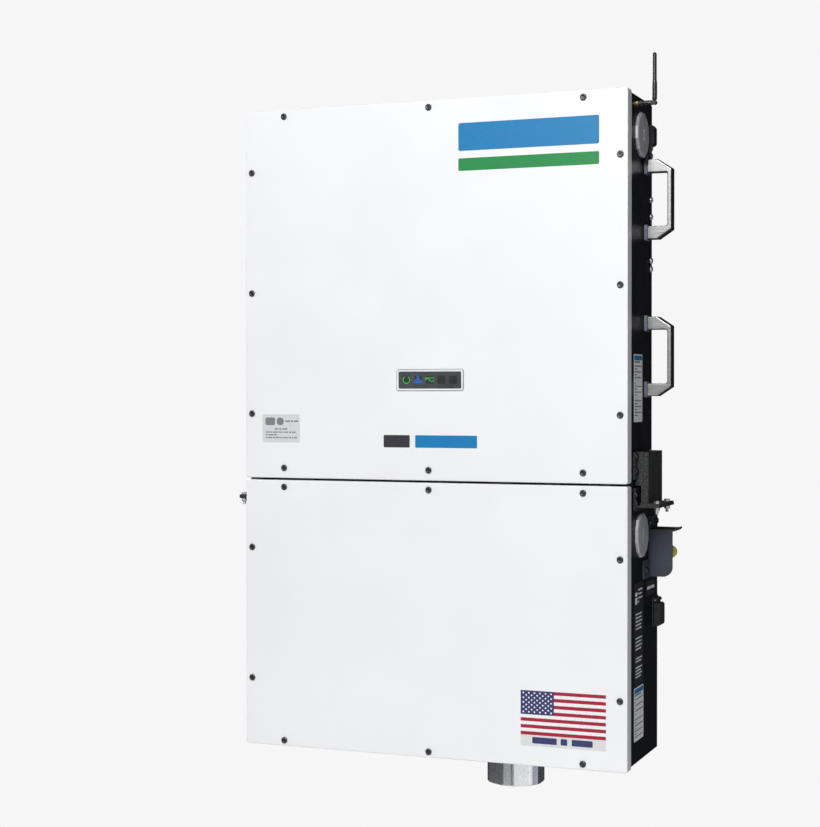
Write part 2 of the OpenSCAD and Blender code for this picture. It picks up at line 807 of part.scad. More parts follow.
// Rotary handle: round base and a bar grip with a domed outer edge
module disconnect_handle() {
    color("#e8d800") in_frame() difference() {
        intersection() {
            union() {
                rod_x(disconnect_y, disconnect_z, 22, wall_x + 1, wall_x + 7);
                along_y(disconnect_y - 22, disconnect_y + 22) {
                    translate([wall_x + 6, disconnect_z - 10.5]) square([17.5, 21]);
                    translate([wall_x + 23.5, disconnect_z]) circle(10.5);
                }
            }
            rod_x(disconnect_y, disconnect_z, 22, wall_x, wall_x + 40);
        }
        rod_x(disconnect_y, disconnect_z, 4, wall_x, wall_x + 12);
    }
}

// Sheet guard over the disconnect handle: front shield, roof and two wall flanges
module disconnect_guard() {
    t = 2.5;
    roof_z = 347;
    x0 = wall_x;
    out = wall_x + 37;
    color("#4a4f59") in_frame() difference() {
        union() {
            along_y(135.5, 135.5 + t) {
                translate([x0, 290]) square([37, roof_z - 290]);
                translate([x0, 275]) square([22, 20]);
                translate([out - 15, 290]) circle(15);
            }
            block(x0, out + 2, 135.5, 184, roof_z - t, roof_z);
            along_y(135.5, 184) polygon([[out + 2 - eps, roof_z - t], [out + 4.5, roof_z + 0.5],
                [out + 3.5, roof_z + 2.5], [out + 2 - eps, roof_z]]);
            block(x0, x0 + t, 130, 184, roof_z - t, roof_z + 20);
            block(x0, x0 + t, 98, 136, 274, 302);
        }
        side_holes(guard_side, 3);
    }
}

module switch_base() {
    color("#26282b") in_frame() difference() {
        union() {
            block(wall_x, wall_x + 2, switch_y - 17, switch_y + 17, switch_z - 19, 241);
            block(inner_x - 20, wall_x + 3, switch_y - 10, switch_y + 10, switch_z - 13.5, switch_z + 13.5);
            for (s = [-1, 1]) {
                rod_y(switch_hinge_x, switch_hinge_z, 3, switch_y + s * 13 - 2, switch_y + s * 13 + 2);
                block(wall_x, switch_hinge_x, switch_y + s * 13 - 2, switch_y + s * 13 + 2,
                    switch_hinge_z - 3, switch_hinge_z + 3);
            }
        }
        block(inner_x - 8, wall_x + 4, switch_y - 8.5, switch_y + 8.5, switch_z - 12, switch_z + 12);
        rod_y(switch_hinge_x, switch_hinge_z, 1.25, switch_y - 16, switch_y + 16);
        rod_y(wall_x, switch_z, 1.55, switch_y - 9.8, switch_y + 9.8);
    }
}

module switch_rocker() {
    color("#0f1012") in_frame() translate([wall_x, switch_y, switch_z]) rotate([0, -12, 0]) {
        along_y(-8, 8) difference() {
            intersection() {
                circle(11);
                translate([-6, -11]) square([13, 22]);
            }
            translate([15, 0]) circle(10.5);
        }
        rod_y(0, 0, 1.5, -9.6, 9.6);
    }
}

module switch_cover() {
    t = 1.8;
    front = wall_x + 12.5;
    color("#2f3032") in_frame() difference() {
        union() {
            difference() {
                union() {
                    block(wall_x + 2.4, front - 4, switch_y - 15, switch_y + 15, 196, 231);
                    block(wall_x + 2.4, front, switch_y - 15, switch_y + 15, 200, 227);
                    rod_y(front - 4, 200, 4, switch_y - 15, switch_y + 15);
                    rod_y(front - 4, 227, 4, switch_y - 15, switch_y + 15);
                }
                block(wall_x, front - t, switch_y - 15 + t, switch_y + 15 - t, 196 + t, 231 - t);
            }
            block(switch_hinge_x - 2, switch_hinge_x + 2, switch_y - 10.5, switch_y + 10.5, 230, 236);
            rod_y(switch_hinge_x, switch_hinge_z, 2.9, switch_y - 10.5, switch_y + 10.5);
        }
        rod_y(switch_hinge_x, switch_hinge_z, 1.3, switch_y - 16, switch_y + 16);
    }
}

module switch_hinge_pin() {
    color("silver") in_frame() rod_y(switch_hinge_x, switch_hinge_z, 1.25, switch_y - 15.5, switch_y + 15.5);
}

module dc_fuse_holders() {
    color("#e4e4e0") in_frame() {
        for (i = [0:9]) {
            x = -280 + i * 19;
            block(x, x + 17.5, 135, box_d - wall_t - 5, 235, 320);
            block(x + 3, x + 14.5, 122, 135 + eps, 255, 300);
        }
        block(-284, -86, box_d - wall_t - 5, box_d - wall_t, 260, 295);
    }
}

module terminal_blocks() {
    color("#9a9da2") in_frame() {
        for (i = [0:9]) difference() {
            block(-280 + i * 19, -262.5 + i * 19, 150, box_d - wall_t, 140, 190);
            rod_y(-271.25 + i * 19, 176, 4, 140, 165);
            rod_z(-271.25 + i * 19, 166, 5, 130, 155);
        }
        for (i = [0:3]) difference() {
            block(20 + i * 42, 60 + i * 42, 125, box_d - wall_t, 170, 235);
            rod_y(40 + i * 42, 215, 8, 115, 150);
            rod_z(40 + i * 42, 148, 11, 160, 190);
        }
    }
}

module surge_protectors() {
    color("#c8402c") in_frame() for (j = [0:1], i = [0:2]) {
        x = -60 + j * 75 + i * 18;
        block(x, x + 17, 140, box_d - wall_t, 270, 350);
        block(x + 2, x + 15, 128, 140 + eps, 285, 335);
    }
}

module ground_bar() {
    color("goldenrod") in_frame() difference() {
        union() {
            block(-200, -40, 168, 174, 60, 76);
            for (x = [-190, -50]) rod_y(x, 68, 5, 173, box_d - wall_t);
        }
        for (i = [0:7]) rod_y(-172 + i * 15, 68, 3, 167, 175);
    }
}

wall_bracket();
hanger_brackets();
power_head_housing();
power_head_cover();
power_head_gasket();
power_cover_screws();
display_bezel();
display_window();
display_board();
indicator_leds();
heat_sink();
heat_sink_shroud();
fan_tray();
fan_frames();
fan_rotor_left();
fan_rotor_centre();
fan_rotor_right();
power_board();
power_modules();
dc_link_capacitors();
boost_inductors();
filter_chokes();
control_board();
wiring_box_housing();
wiring_box_cover();
wiring_box_gasket();
wiring_cover_screws();
joining_collar();
joint_bracket_upper_right();
joint_bracket_upper_left();
joint_bracket_lower_right();
joint_bracket_lower_left();
joint_bolts();
side_screws();
handle_upper_right();
handle_upper_left();
handle_lower_right();
handle_lower_left();
plug_upper_right();
plug_upper_left();
plug_lower_right();
plug_lower_left();
conduit_hub();
hub_locknut();
antenna_connector();
antenna_elbow();
antenna_rod();
port_cover();
disconnect_switch();
disconnect_shaft();
disconnect_handle();
disconnect_guard();
switch_base();
switch_rocker();
switch_cover();
switch_hinge_pin();
dc_fuse_holders();
terminal_blocks();
surge_protectors();
ground_bar();
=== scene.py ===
import math

import bmesh
import bpy
from mathutils import Matrix, Vector


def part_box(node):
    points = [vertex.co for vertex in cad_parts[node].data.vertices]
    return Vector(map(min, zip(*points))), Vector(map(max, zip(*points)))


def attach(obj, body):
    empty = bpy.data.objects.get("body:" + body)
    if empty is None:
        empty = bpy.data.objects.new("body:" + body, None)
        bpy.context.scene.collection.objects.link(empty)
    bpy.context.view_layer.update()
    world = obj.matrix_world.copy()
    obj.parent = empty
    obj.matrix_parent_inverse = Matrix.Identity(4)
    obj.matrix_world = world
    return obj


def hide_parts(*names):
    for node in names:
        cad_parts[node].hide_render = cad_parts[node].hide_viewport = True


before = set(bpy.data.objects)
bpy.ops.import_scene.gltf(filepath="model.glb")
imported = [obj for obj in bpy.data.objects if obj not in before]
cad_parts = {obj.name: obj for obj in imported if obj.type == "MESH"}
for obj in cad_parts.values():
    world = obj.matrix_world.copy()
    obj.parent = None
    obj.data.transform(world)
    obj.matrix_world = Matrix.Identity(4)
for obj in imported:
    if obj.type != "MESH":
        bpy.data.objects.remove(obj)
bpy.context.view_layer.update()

# ---------------------------------------------------------------- places
# Lengths below are in millimetres on the enclosure: x across from its centre, y back from the
# front face, z up from the bottom edge.  P() turns them into the frame's metres.
MM = 0.001
COVER_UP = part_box("power_head_cover")
COVER_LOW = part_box("wiring_box_cover")
FRONT_Y = COVER_UP[0].y
BOTTOM_Z = COVER_LOW[0].z


def P(x, y, z):
    return Vector((x * MM, FRONT_Y + y * MM, BOTTOM_Z + z * MM))


def local(node):
    """A CAD node's box as ((x0, y0, z0), (x1, y1, z1)) in enclosure millimetres."""
    lo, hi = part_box(node)
    return tuple(tuple((v - P(0, 0, 0)) / MM) for v in (lo, hi))


HALF_W = COVER_UP[1].x / MM
TOP = (COVER_UP[1].z - BOTTOM_Z) / MM
POWER_Z0 = (COVER_UP[0].z - BOTTOM_Z) / MM
BOX_TOP = (COVER_LOW[1].z - BOTTOM_Z) / MM
FLANGE = (COVER_UP[1].y - FRONT_Y) / MM
WALL_X = local("power_head_housing")[1][0]

# ---------------------------------------------------------------- camera
CAMERA_AZIMUTH = math.radians(21.58)
CAMERA_ELEVATION = math.radians(0.62)
CAMERA_ROLL = math.radians(-0.02)
CAMERA_DISTANCE = 2.6545
CAMERA_LENS = 75.68
CAMERA_AIM = P(-30.5, 0, 524.1)


def make_camera():
    data = bpy.data.cameras.new("camera")
    data.lens = CAMERA_LENS
    data.sensor_width = 36.0
    data.clip_start = 0.05
    data.clip_end = 60.0
    camera = bpy.data.objects.new("camera", data)
    bpy.context.scene.collection.objects.link(camera)
    a, e = CAMERA_AZIMUTH, CAMERA_ELEVATION
    back = Vector((math.sin(a) * math.cos(e), -math.cos(a) * math.cos(e), math.sin(e)))
    camera.rotation_mode = "QUATERNION"
    camera.location = CAMERA_AIM + back * CAMERA_DISTANCE
    turn = (-back).to_track_quat("-Z", "Y")
    camera.rotation_quaternion = turn @ Matrix.Rotation(CAMERA_ROLL, 3, "Z").to_quaternion()
    bpy.context.scene.camera = camera


make_camera()

# ---------------------------------------------------------------- materials


class Nodes:
    """A material's node tree with short calls for what every finish here uses."""

    def __init__(self, name):
        self.mat = bpy.data.materials.new(name)
        self.mat.use_nodes = True
        self.tree = self.mat.node_tree
        self.tree.nodes.clear()
        self.bsdf = self.add("ShaderNodeBsdfPrincipled")
        self.add("ShaderNodeOutputMaterial", Surface=self.bsdf.outputs[0])
        self.coord = self.add("ShaderNodeTexCoord").outputs["Object"]

    def feed(self, node, inputs):
        """Link or set a node's inputs by name, with underscores for the spaces."""
        for key, value in inputs.items():
            socket = node.inputs[key.replace("_", " ")]
            if isinstance(value, bpy.types.NodeSocket):
                self.tree.links.new(value, socket)
            else:
                socket.default_value = value

    def add(self, kind, **inputs):
        node = self.tree.nodes.new(kind)
        self.feed(node, inputs)
        return node

    def shade(self, **inputs):
        self.feed(self.bsdf, inputs)
        return self.mat

    def noise(self, scale, detail=3.0, rough=0.5, vector=None):
        return self.add("ShaderNodeTexNoise", Scale=scale, Detail=detail, Roughness=rough,
                        Vector=vector or self.coord).outputs["Fac"]

    def ramp(self, value, stops):
        node = self.add("ShaderNodeValToRGB", Fac=value)
        ramp = node.color_ramp
        while len(ramp.elements) < len(stops):
            ramp.elements.new(0.5)
        for element, (place, colour) in zip(ramp.elements, stops):
            element.position = place
            element.color = (*colour, 1.0)
        return node.outputs["Color"]

    def span(self, value, low, high, start=0.3, end=0.7):
        return self.add("ShaderNodeMapRange", Value=value, From_Min=start, From_Max=end,
                        To_Min=low, To_Max=high).outputs[0]

    def bump(self, height, distance, strength, **under):
        return self.add("ShaderNodeBump", Height=height, Distance=distance, Strength=strength,
                        **under).outputs["Normal"]

    def skin(self, base, spread, tone, ends, gloss, rough, **inputs):
        """What most finishes share: noise that drifts in tone, and noise that drifts in gloss."""
        dark, light = shades(base, spread)
        return self.shade(
            Base_Color=self.ramp(self.noise(*tone), [(ends[0], dark), (ends[1], light)]),
            Roughness=self.span(self.noise(*gloss), *rough), **inputs)


def shades(base, spread):
    """Two colours a little darker and lighter than base."""
    return tuple(c * (1 - spread) for c in base), tuple(min(1.0, c * (1 + spread)) for c in base)


def powder_coat(name, base, rough, grain=900, depth=0.00004, spread=0.015, specular=0.5):
    """Sprayed powder: a fine orange peel, and a little drift in tone and gloss."""
    n = Nodes(name)
    fine = n.bump(n.noise(grain, 2.0, 0.45), depth, 0.5)
    peel = n.bump(n.noise(grain * 0.22, 1.0), depth * 1.5, 0.35, Normal=fine)
    return n.skin(base, spread, (7.0, 2.0), (0.35, 0.65), (26.0, 3.0), (rough - 0.04, rough + 0.05),
                  Normal=peel, Specular_IOR_Level=specular)


def textured_paint(name, base):
    """Coarse textured powder with lighter specks on its high spots."""
    n = Nodes(name)
    dark, light = shades(base, 0.9)
    height = n.noise(620, 2.0, 0.55)
    return n.shade(Base_Color=n.ramp(height, [(0.36, dark), (0.52, base), (0.72, light)]),
                   Roughness=n.span(n.noise(60.0), 0.54, 0.68),
                   Normal=n.bump(height, 0.00022, 0.8), Specular_IOR_Level=0.18)


def satin_metal(name, base, rough, brush=(40.0, 40.0, 1400.0)):
    """Drawn or milled metal: fine lines along one way, cloudy reflections."""
    n = Nodes(name)
    dark, light = shades(base, 0.06)
    stretched = n.add("ShaderNodeMapping", Vector=n.coord, Scale=brush).outputs[0]
    lines = n.noise(1.0, 3.0, 0.6, stretched)
    return n.shade(Base_Color=n.ramp(n.noise(14.0, 3.0), [(0.3, dark), (0.7, light)]),
                   Roughness=n.span(lines, rough - 0.07, rough + 0.09),
                   Normal=n.bump(lines, 0.00002, 0.7), Metallic=1.0)


def cast_metal(name, base, rough, grain, depth, spread=0.12, metallic=1.0, vary=1.0):
    """Die-cast metal, bare or lacquered, with a sandy skin."""
    n = Nodes(name)
    return n.skin(base, spread, (34.0, 4.0, 0.6), (0.3, 0.7), (90.0, 3.0),
                  (rough - 0.05 * vary, rough + 0.06 * vary),
                  Normal=n.bump(n.noise(grain, 3.0, 0.6), depth, 0.6), Metallic=metallic)


def zinc_sheet(name, base):
    """Zinc coated sheet with its patchwork of soft crystals."""
    n = Nodes(name)
    dark, light = shades(base, 0.14)
    flakes = n.add("ShaderNodeTexVoronoi", Vector=n.coord, Scale=95.0).outputs["Color"]
    return n.shade(Base_Color=n.ramp(flakes, [(0.15, dark), (0.5, base), (0.85, light)]),
                   Roughness=n.span(flakes, 0.3, 0.52, 0.1, 0.9),
                   Normal=n.bump(n.noise(500.0, 2.0), 0.00002, 0.5), Metallic=1.0)


def moulded(name, base, rough):
    """Injection-moulded plastic with spark-eroded grain."""
    n = Nodes(name)
    return n.skin(base, 0.08, (30.0, 3.0), (0.3, 0.7), (120.0, 3.0), (rough - 0.06, rough + 0.07),
                  Normal=n.bump(n.noise(1300, 2.0), 0.00003, 0.7), Specular_IOR_Level=0.45)


def rubber(name, base):
    """Soft black rubber with a dusty bloom."""
    n = Nodes(name)
    return n.skin(base, 0.35, (70.0, 4.0, 0.6), (0.35, 0.75), (40.0,), (0.62, 0.8),
                  Normal=n.bump(n.noise(800.0, 3.0), 0.00006, 0.7), Specular_IOR_Level=0.3)


def circuit(name, mask, copper):
    """Solder mask with pale tracks and pads."""
    n = Nodes(name)
    turned = n.add("ShaderNodeMapping", Vector=n.coord, Rotation=(math.pi / 2, 0.0, 0.0))
    tracks = n.add("ShaderNodeTexBrick", Vector=turned.outputs[0], Scale=110.0, Mortar_Size=0.035,
                   Color1=(*mask, 1.0), Color2=(*(c * 0.7 for c in mask), 1.0),
                   Mortar=(*copper, 1.0))
    return n.shade(Base_Color=tracks.outputs["Color"], Roughness=n.span(n.noise(60.0), 0.28, 0.42),
                   Normal=n.bump(tracks.outputs["Fac"], 0.00004, 0.5))


def lit(name, colour):
    """A lit indicator: a soft glow that fades a little from place to place."""
    n = Nodes(name)
    dark, light = shades(colour, 0.2)
    glow = n.ramp(n.noise(240.0, 1.0), [(0.3, dark), (0.7, light)])
    return n.shade(Base_Color=glow, Emission_Color=glow, Emission_Strength=0.35, Roughness=0.4)


def printed(name, base, rough=0.42):
    """Ink or printed film: even colour with a faint screen-print grain."""
    n = Nodes(name)
    return n.skin(base, 0.05, (300.0, 2.0), (0.35, 0.65), (80.0,), (rough - 0.05, rough + 0.05),
                  Normal=n.bump(n.noise(1500.0, 1.0), 0.00001, 0.4))


def winding(name, base):
    """Enamelled wire wound side by side."""
    n = Nodes(name)
    wave = n.add("ShaderNodeTexWave", Vector=n.coord, Scale=190.0, Distortion=0.6)
    wave.bands_direction = "DIAGONAL"
    dark, light = shades(base, 0.45)
    turns = wave.outputs["Fac"]
    return n.shade(Base_Color=n.ramp(turns, [(0.0, dark), (0.6, base), (1.0, light)]),
                   Roughness=n.span(n.noise(50.0), 0.26, 0.4),
                   Normal=n.bump(turns, 0.0004, 0.8), Metallic=0.6)


def smoked(name, base):
    """Smoked window film: nearly black and glossy, with a faint haze."""
    n = Nodes(name)
    return n.skin(base, 0.2, (40.0,), (0.3, 0.7), (90.0,), (0.1, 0.2),
                  Normal=n.bump(n.noise(60.0, 1.0), 0.00003, 0.2))


EVEN_GRAIN = (500.0,) * 3
BLACK_OXIDE_GRAIN = (300.0,) * 3
# Each finish: how it is made, the record's slot for it, and its colour and other values.
# Inks and labels have no slot of their own.
FINISHES = {
    "white": (powder_coat, "white_powder_coat", (0.86, 0.865, 0.875), 0.42),
    "black": (powder_coat, "black_paint", (0.0046, 0.0050, 0.0066), 0.36, 700, 0.00003, 0.12, 0.05),
    "duct": (powder_coat, "black_paint", (0.02, 0.021, 0.024), 0.42, 800, 0.00005, 0.12, 0.4),
    "bracket": (textured_paint, "dark_bracket", (0.044, 0.045, 0.045)),
    "guard": (powder_coat, "guard_paint", (0.036, 0.043, 0.058), 0.46, 800, 0.00006, 0.1, 0.4),
    # painted shade: the dark sheet on the handles' outer faces
    "band": (satin_metal, "aluminium_handle", (0.03, 0.03, 0.033), 0.4),
    "handle": (satin_metal, "aluminium_handle", (0.47, 0.47, 0.465), 0.34),
    "pad": (powder_coat, "aluminium_handle", (0.16, 0.17, 0.23), 0.4, 800, 0.00005, 0.1, 0.4),
    "sink": (satin_metal, "sink_aluminium", (0.60, 0.61, 0.63), 0.4, (900.0, 900.0, 12.0)),
    "zinc": (zinc_sheet, "zinc_sheet", (0.60, 0.61, 0.63)),
    "dark_screw": (satin_metal, "dark_screw", (0.115, 0.115, 0.12), 0.38, BLACK_OXIDE_GRAIN),
    "dark_nickel": (satin_metal, "bright_screw", (0.10, 0.10, 0.10), 0.22, EVEN_GRAIN),
    "bright_screw": (satin_metal, "bright_screw", (0.80, 0.80, 0.81), 0.36, EVEN_GRAIN),
    "plug": (cast_metal, "plug_metal", (0.74, 0.74, 0.76), 0.4, 420, 0.00003, 0.04, 0.6),
    "hub": (cast_metal, "hub_metal", (0.70, 0.71, 0.72), 0.27, 420, 0.000002, 0.02, 1.0, 0.2),
    "gasket": (rubber, "gasket_rubber", (0.03, 0.03, 0.032)),
    "rubber": (rubber, "black_rubber", (0.015, 0.015, 0.017)),
    "sticker": (printed, None, (0.70, 0.70, 0.70)),
    "bezel": (moulded, "bezel_plastic", (0.80, 0.80, 0.81), 0.35),
    "window": (smoked, "smoked_window", (0.072, 0.074, 0.075)),
    "board": (circuit, "circuit_board", (0.012, 0.11, 0.045), (0.30, 0.32, 0.16)),
    "module": (moulded, "module_case", (0.56, 0.54, 0.48), 0.5),
    "can": (moulded, "capacitor_can", (0.04, 0.06, 0.10), 0.3),
    "copper": (winding, "copper_winding", (0.52, 0.22, 0.08)),
    "core": (cast_metal, "choke_core", (0.10, 0.09, 0.085), 0.55, 300, 0.0002),
    "fan": (moulded, "fan_plastic", (0.018, 0.018, 0.019), 0.45),
    "brass": (satin_metal, "brass", (0.72, 0.46, 0.13), 0.22, EVEN_GRAIN),
    "antenna": (moulded, "antenna_plastic", (0.016, 0.017, 0.019), 0.32),
    "switch": (moulded, "switch_plastic", (0.018, 0.019, 0.020), 0.42),
    "yellow": (moulded, "yellow_plastic", (0.86, 0.78, 0.10), 0.38),
    "holder": (moulded, "holder_plastic", (0.66, 0.66, 0.62), 0.45),
    "terminal": (moulded, "terminal_plastic", (0.26, 0.28, 0.30), 0.5),
    "arrester": (moulded, "arrester_plastic", (0.50, 0.06, 0.03), 0.42),
    "label_pale": (printed, None, (0.66, 0.67, 0.68)),
    "label_white": (printed, None, (0.86, 0.86, 0.86)),
    "ink_white": (printed, None, (0.95, 0.95, 0.95)),
    "label_black": (printed, None, (0.012, 0.012, 0.014), 0.5),
    "ink_dark": (printed, None, (0.035, 0.035, 0.045)),
    "ink_grey": (printed, None, (0.22, 0.22, 0.24)),
    "ink_blue": (printed, None, (0.005, 0.20, 0.46)),
    "ink_navy": (printed, None, (0.040, 0.045, 0.15)),
    "ink_green": (printed, None, (0.01, 0.25, 0.06)),
    "ink_red": (printed, None, (0.37, 0.015, 0.045)),
    "glow_green": (lit, "led_lens", (0.035, 0.42, 0.06)),
    "glow_blue": (lit, "led_lens", (0.02, 0.16, 0.55)),
    "tile": (smoked, "smoked_window", (0.040, 0.044, 0.044)),
}
MAT = {key: make(key, *values) for key, (make, slot, *values) in FINISHES.items()}

# ---------------------------------------------------------------- mesh helpers


class Shape:
    """A mesh built from solids in enclosure millimetres, then placed in the frame."""

    def __init__(self, name):
        self.name = name
        self.bm = bmesh.new()

    def loop(self, points):
        return [self.bm.verts.new(P(*p)) for p in points]

    def bridge(self, a, b):
        for i in range(len(a)):
            j = (i + 1) % len(a)
            self.bm.faces.new((a[i], a[j], b[j], b[i]))

    def loft(self, loops, closed=False):
        """Skin a row of loops that have equal numbers of points."""
        rings = [self.loop(points) for points in loops]
        for a, b in zip(rings, rings[1:]):
            self.bridge(a, b)
        if closed:
            self.bridge(rings[-1], rings[0])
        else:
            self.bm.faces.new(list(reversed(rings[0])))
            self.bm.faces.new(rings[-1])
        return self

    def stack(self, axis, rows, closed=False, side=1):
        """Skin rows of (outline, place along axis); side -1 puts the places on the other side."""
        return self.loft([placed(outline, axis, side * t) for outline, t in rows], closed)

    def prism(self, outline, axis, start, end):
        """Extrude an outline of the other two axes, in x, y, z order, along one axis."""
        return self.stack(axis, [(outline, start), (outline, end)])

    def box(self, x0, x1, y0, y1, z0, z1):
        return self.prism([(x0, z0), (x1, z0), (x1, z1), (x0, z1)], "y", y0, y1)

    def ring(self, outer, inner, axis, start, end):
        """Extrude a frame between two outlines that have equal numbers of points."""
        return self.stack(axis, [(outer, start), (outer, end), (inner, end), (inner, start)], True)

    def lathe(self, profile, axis, centre, steps=40, closed=False):
        """Turn a profile of (radius, place along axis) about an axis through centre."""
        return self.stack(axis, turned(*centre, steps, *profile), closed)

    def finish(self, finish, node=None, body="inverter", bevel=0.0, steps=2, smooth=38, slot=None):
        """Make the object: material, bevelled edges, smooth shading and body; slot is not used."""
        bmesh.ops.remove_doubles(self.bm, verts=self.bm.verts, dist=1e-7)
        bmesh.ops.recalc_face_normals(self.bm, faces=self.bm.faces)
        mesh = bpy.data.meshes.new(self.name)
        self.bm.to_mesh(mesh)
        self.bm.free()
        return dress(mesh, self.name, finish, node, body, bevel, steps, smooth)


def spread(u, v, axis, t):
    return {"x": (t, u, v), "y": (u, t, v), "z": (u, v, t)}[axis]


def dress(mesh, name, finish, node, body, bevel, steps, smooth=38):
    piece = bpy.data.objects.new(name, mesh)
    bpy.context.scene.collection.objects.link(piece)
    mesh.materials.clear()
    mesh.materials.append(MAT[finish])
    for polygon in mesh.polygons:
        polygon.use_smooth = True
        polygon.material_index = 0
    if bevel:
        edge = piece.modifiers.new("edge", "BEVEL")
        edge.width = bevel * MM
        edge.segments = steps
        edge.limit_method = "ANGLE"
        edge.angle_limit = math.radians(28)
        edge.harden_normals = True
        edge.use_clamp_overlap = True
    else:
        mesh.set_sharp_from_angle(angle=math.radians(smooth))
    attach(piece, body)
    if node:
        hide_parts(node)
    return piece


def soft_copy(node, finish, body="inverter", bevel=0.5, steps=2):
    """A CAD node's own solid with its sharp edges rounded."""
    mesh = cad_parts[node].data.copy()
    bm = bmesh.new()
    bm.from_mesh(mesh)
    bmesh.ops.remove_doubles(bm, verts=bm.verts, dist=2e-6)
    bmesh.ops.dissolve_limit(bm, angle_limit=math.radians(0.4), verts=bm.verts, edges=bm.edges)
    bm.to_mesh(mesh)
    bm.free()
    for name in ("custom_normal", "sharp_face"):
        if name in mesh.attributes:
            mesh.attributes.remove(mesh.attributes[name])
    return dress(mesh, node + "_shaped", finish, node, body, bevel, steps)


def corners(x0, x1, z0, z1, radius, steps=6):
    """Rectangle outline with round corners."""
    points = []
    for cx, cz, start in ((x1 - radius, z1 - radius, 0), (x0 + radius, z1 - radius, 90),
                          (x0 + radius, z0 + radius, 180), (x1 - radius, z0 + radius, 270)):
        for i in range(steps + 1):
            a = math.radians(start + 90 * i / steps)
            points.append((cx + radius * math.cos(a), cz + radius * math.sin(a)))
    return points


def circle(cx, cz, radius, steps=48):
    turns = [2 * math.pi * i / steps for i in range(steps)]
    return [(cx + radius * math.cos(a), cz + radius * math.sin(a)) for a in turns]


FULL = 1e9


def flats(cx, cz, apothem, corners_n, steps, limit=FULL):
    """A regular polygon's outline with flats on the axes, its corners turned down to limit."""
    points = []
    for i in range(steps):
        a = 2 * math.pi * i / steps
        part = ((a + math.pi / corners_n) % (2 * math.pi / corners_n)) - math.pi / corners_n
        r = min(apothem / math.cos(part), limit)
        points.append((cx + r * math.cos(a), cz + r * math.sin(a)))
    return points


def hexagon(cx, cz, across, steps, limit=FULL):
    return flats(cx, cz, across / 2, 6, steps, limit)


def placed(outline, axis, t):
    return [spread(u, v, axis, t) for u, v in outline]


def turned(cx, cz, steps, *places):
    """Rows about one centre: (radius, place) is a circle, and (across, place, limit) a hexagon
    whose corners are turned down to limit."""
    return [(circle(cx, cz, place[0], steps), place[1]) if len(place) == 2
            else (hexagon(cx, cz, place[0], steps, place[2]), place[1]) for place in places]


def thread(cx, cz, radius, start, end, pitch, steps, depth=0.5):
    """Rows of circles that rise and fall as a screw thread does."""
    count = max(2, int(abs(end - start) / pitch))
    half = (end - start) / count / 2
    crests = [start + (end - start) * i / count for i in range(count)]
    return turned(cx, cz, steps, *(place for t in crests
                                   for place in ((radius, t), (radius - depth, t + half))))


SCREW_STEPS = 36


def cover_screw(s, cx, cz, head_r=5.0, head_h=2.6, shank_r=3.0, length=17.5, key=4.0):
    """A screw into the front with a chamfered round head and a hexagon socket."""
    rows = turned(cx, cz, SCREW_STEPS, (shank_r * 0.7, length), (shank_r * 0.92, length - 0.8))
    rows += thread(cx, cz, shank_r, length - 1.2, 0.6, 1.3, SCREW_STEPS, 0.4)
    rows += turned(cx, cz, SCREW_STEPS, (shank_r, 0.2), (shank_r, 0.0), (head_r - 0.25, 0.0),
                   (head_r, -0.25), (head_r, -head_h * 0.62), (head_r - 0.22, -head_h * 0.76),
                   (head_r - 1.0, 0.06 - head_h), (head_r - 1.3, -head_h), (key * 0.66, -head_h),
                   (key, 0.25 - head_h, FULL), (key, -head_h * 0.3, FULL))
    s.stack("y", rows)


def smooth_faces(piece):
    """Shade by face area, so large flat faces stay flat beside small round ones."""
    modifier = piece.modifiers.new("shade", "WEIGHTED_NORMAL")
    modifier.keep_sharp = True
    modifier.weight = 80
    return piece


# ---------------------------------------------------------------- covers
COVER_T = 1.5
FOLD = 1.8
SCREW_COL = 243
POWER_SCREWS = ([(x, z) for x in (-SCREW_COL, 0, SCREW_COL) for z in (438, 989)]
                + [(x, z) for x in (-299, 299) for z in (523, 713, 903)])
WIRING_SCREWS = ([(x, z) for x in (-SCREW_COL, 0, SCREW_COL) for z in (9, 408)]
                 + [(x, z) for x in (-299, 299) for z in (105, 312)])


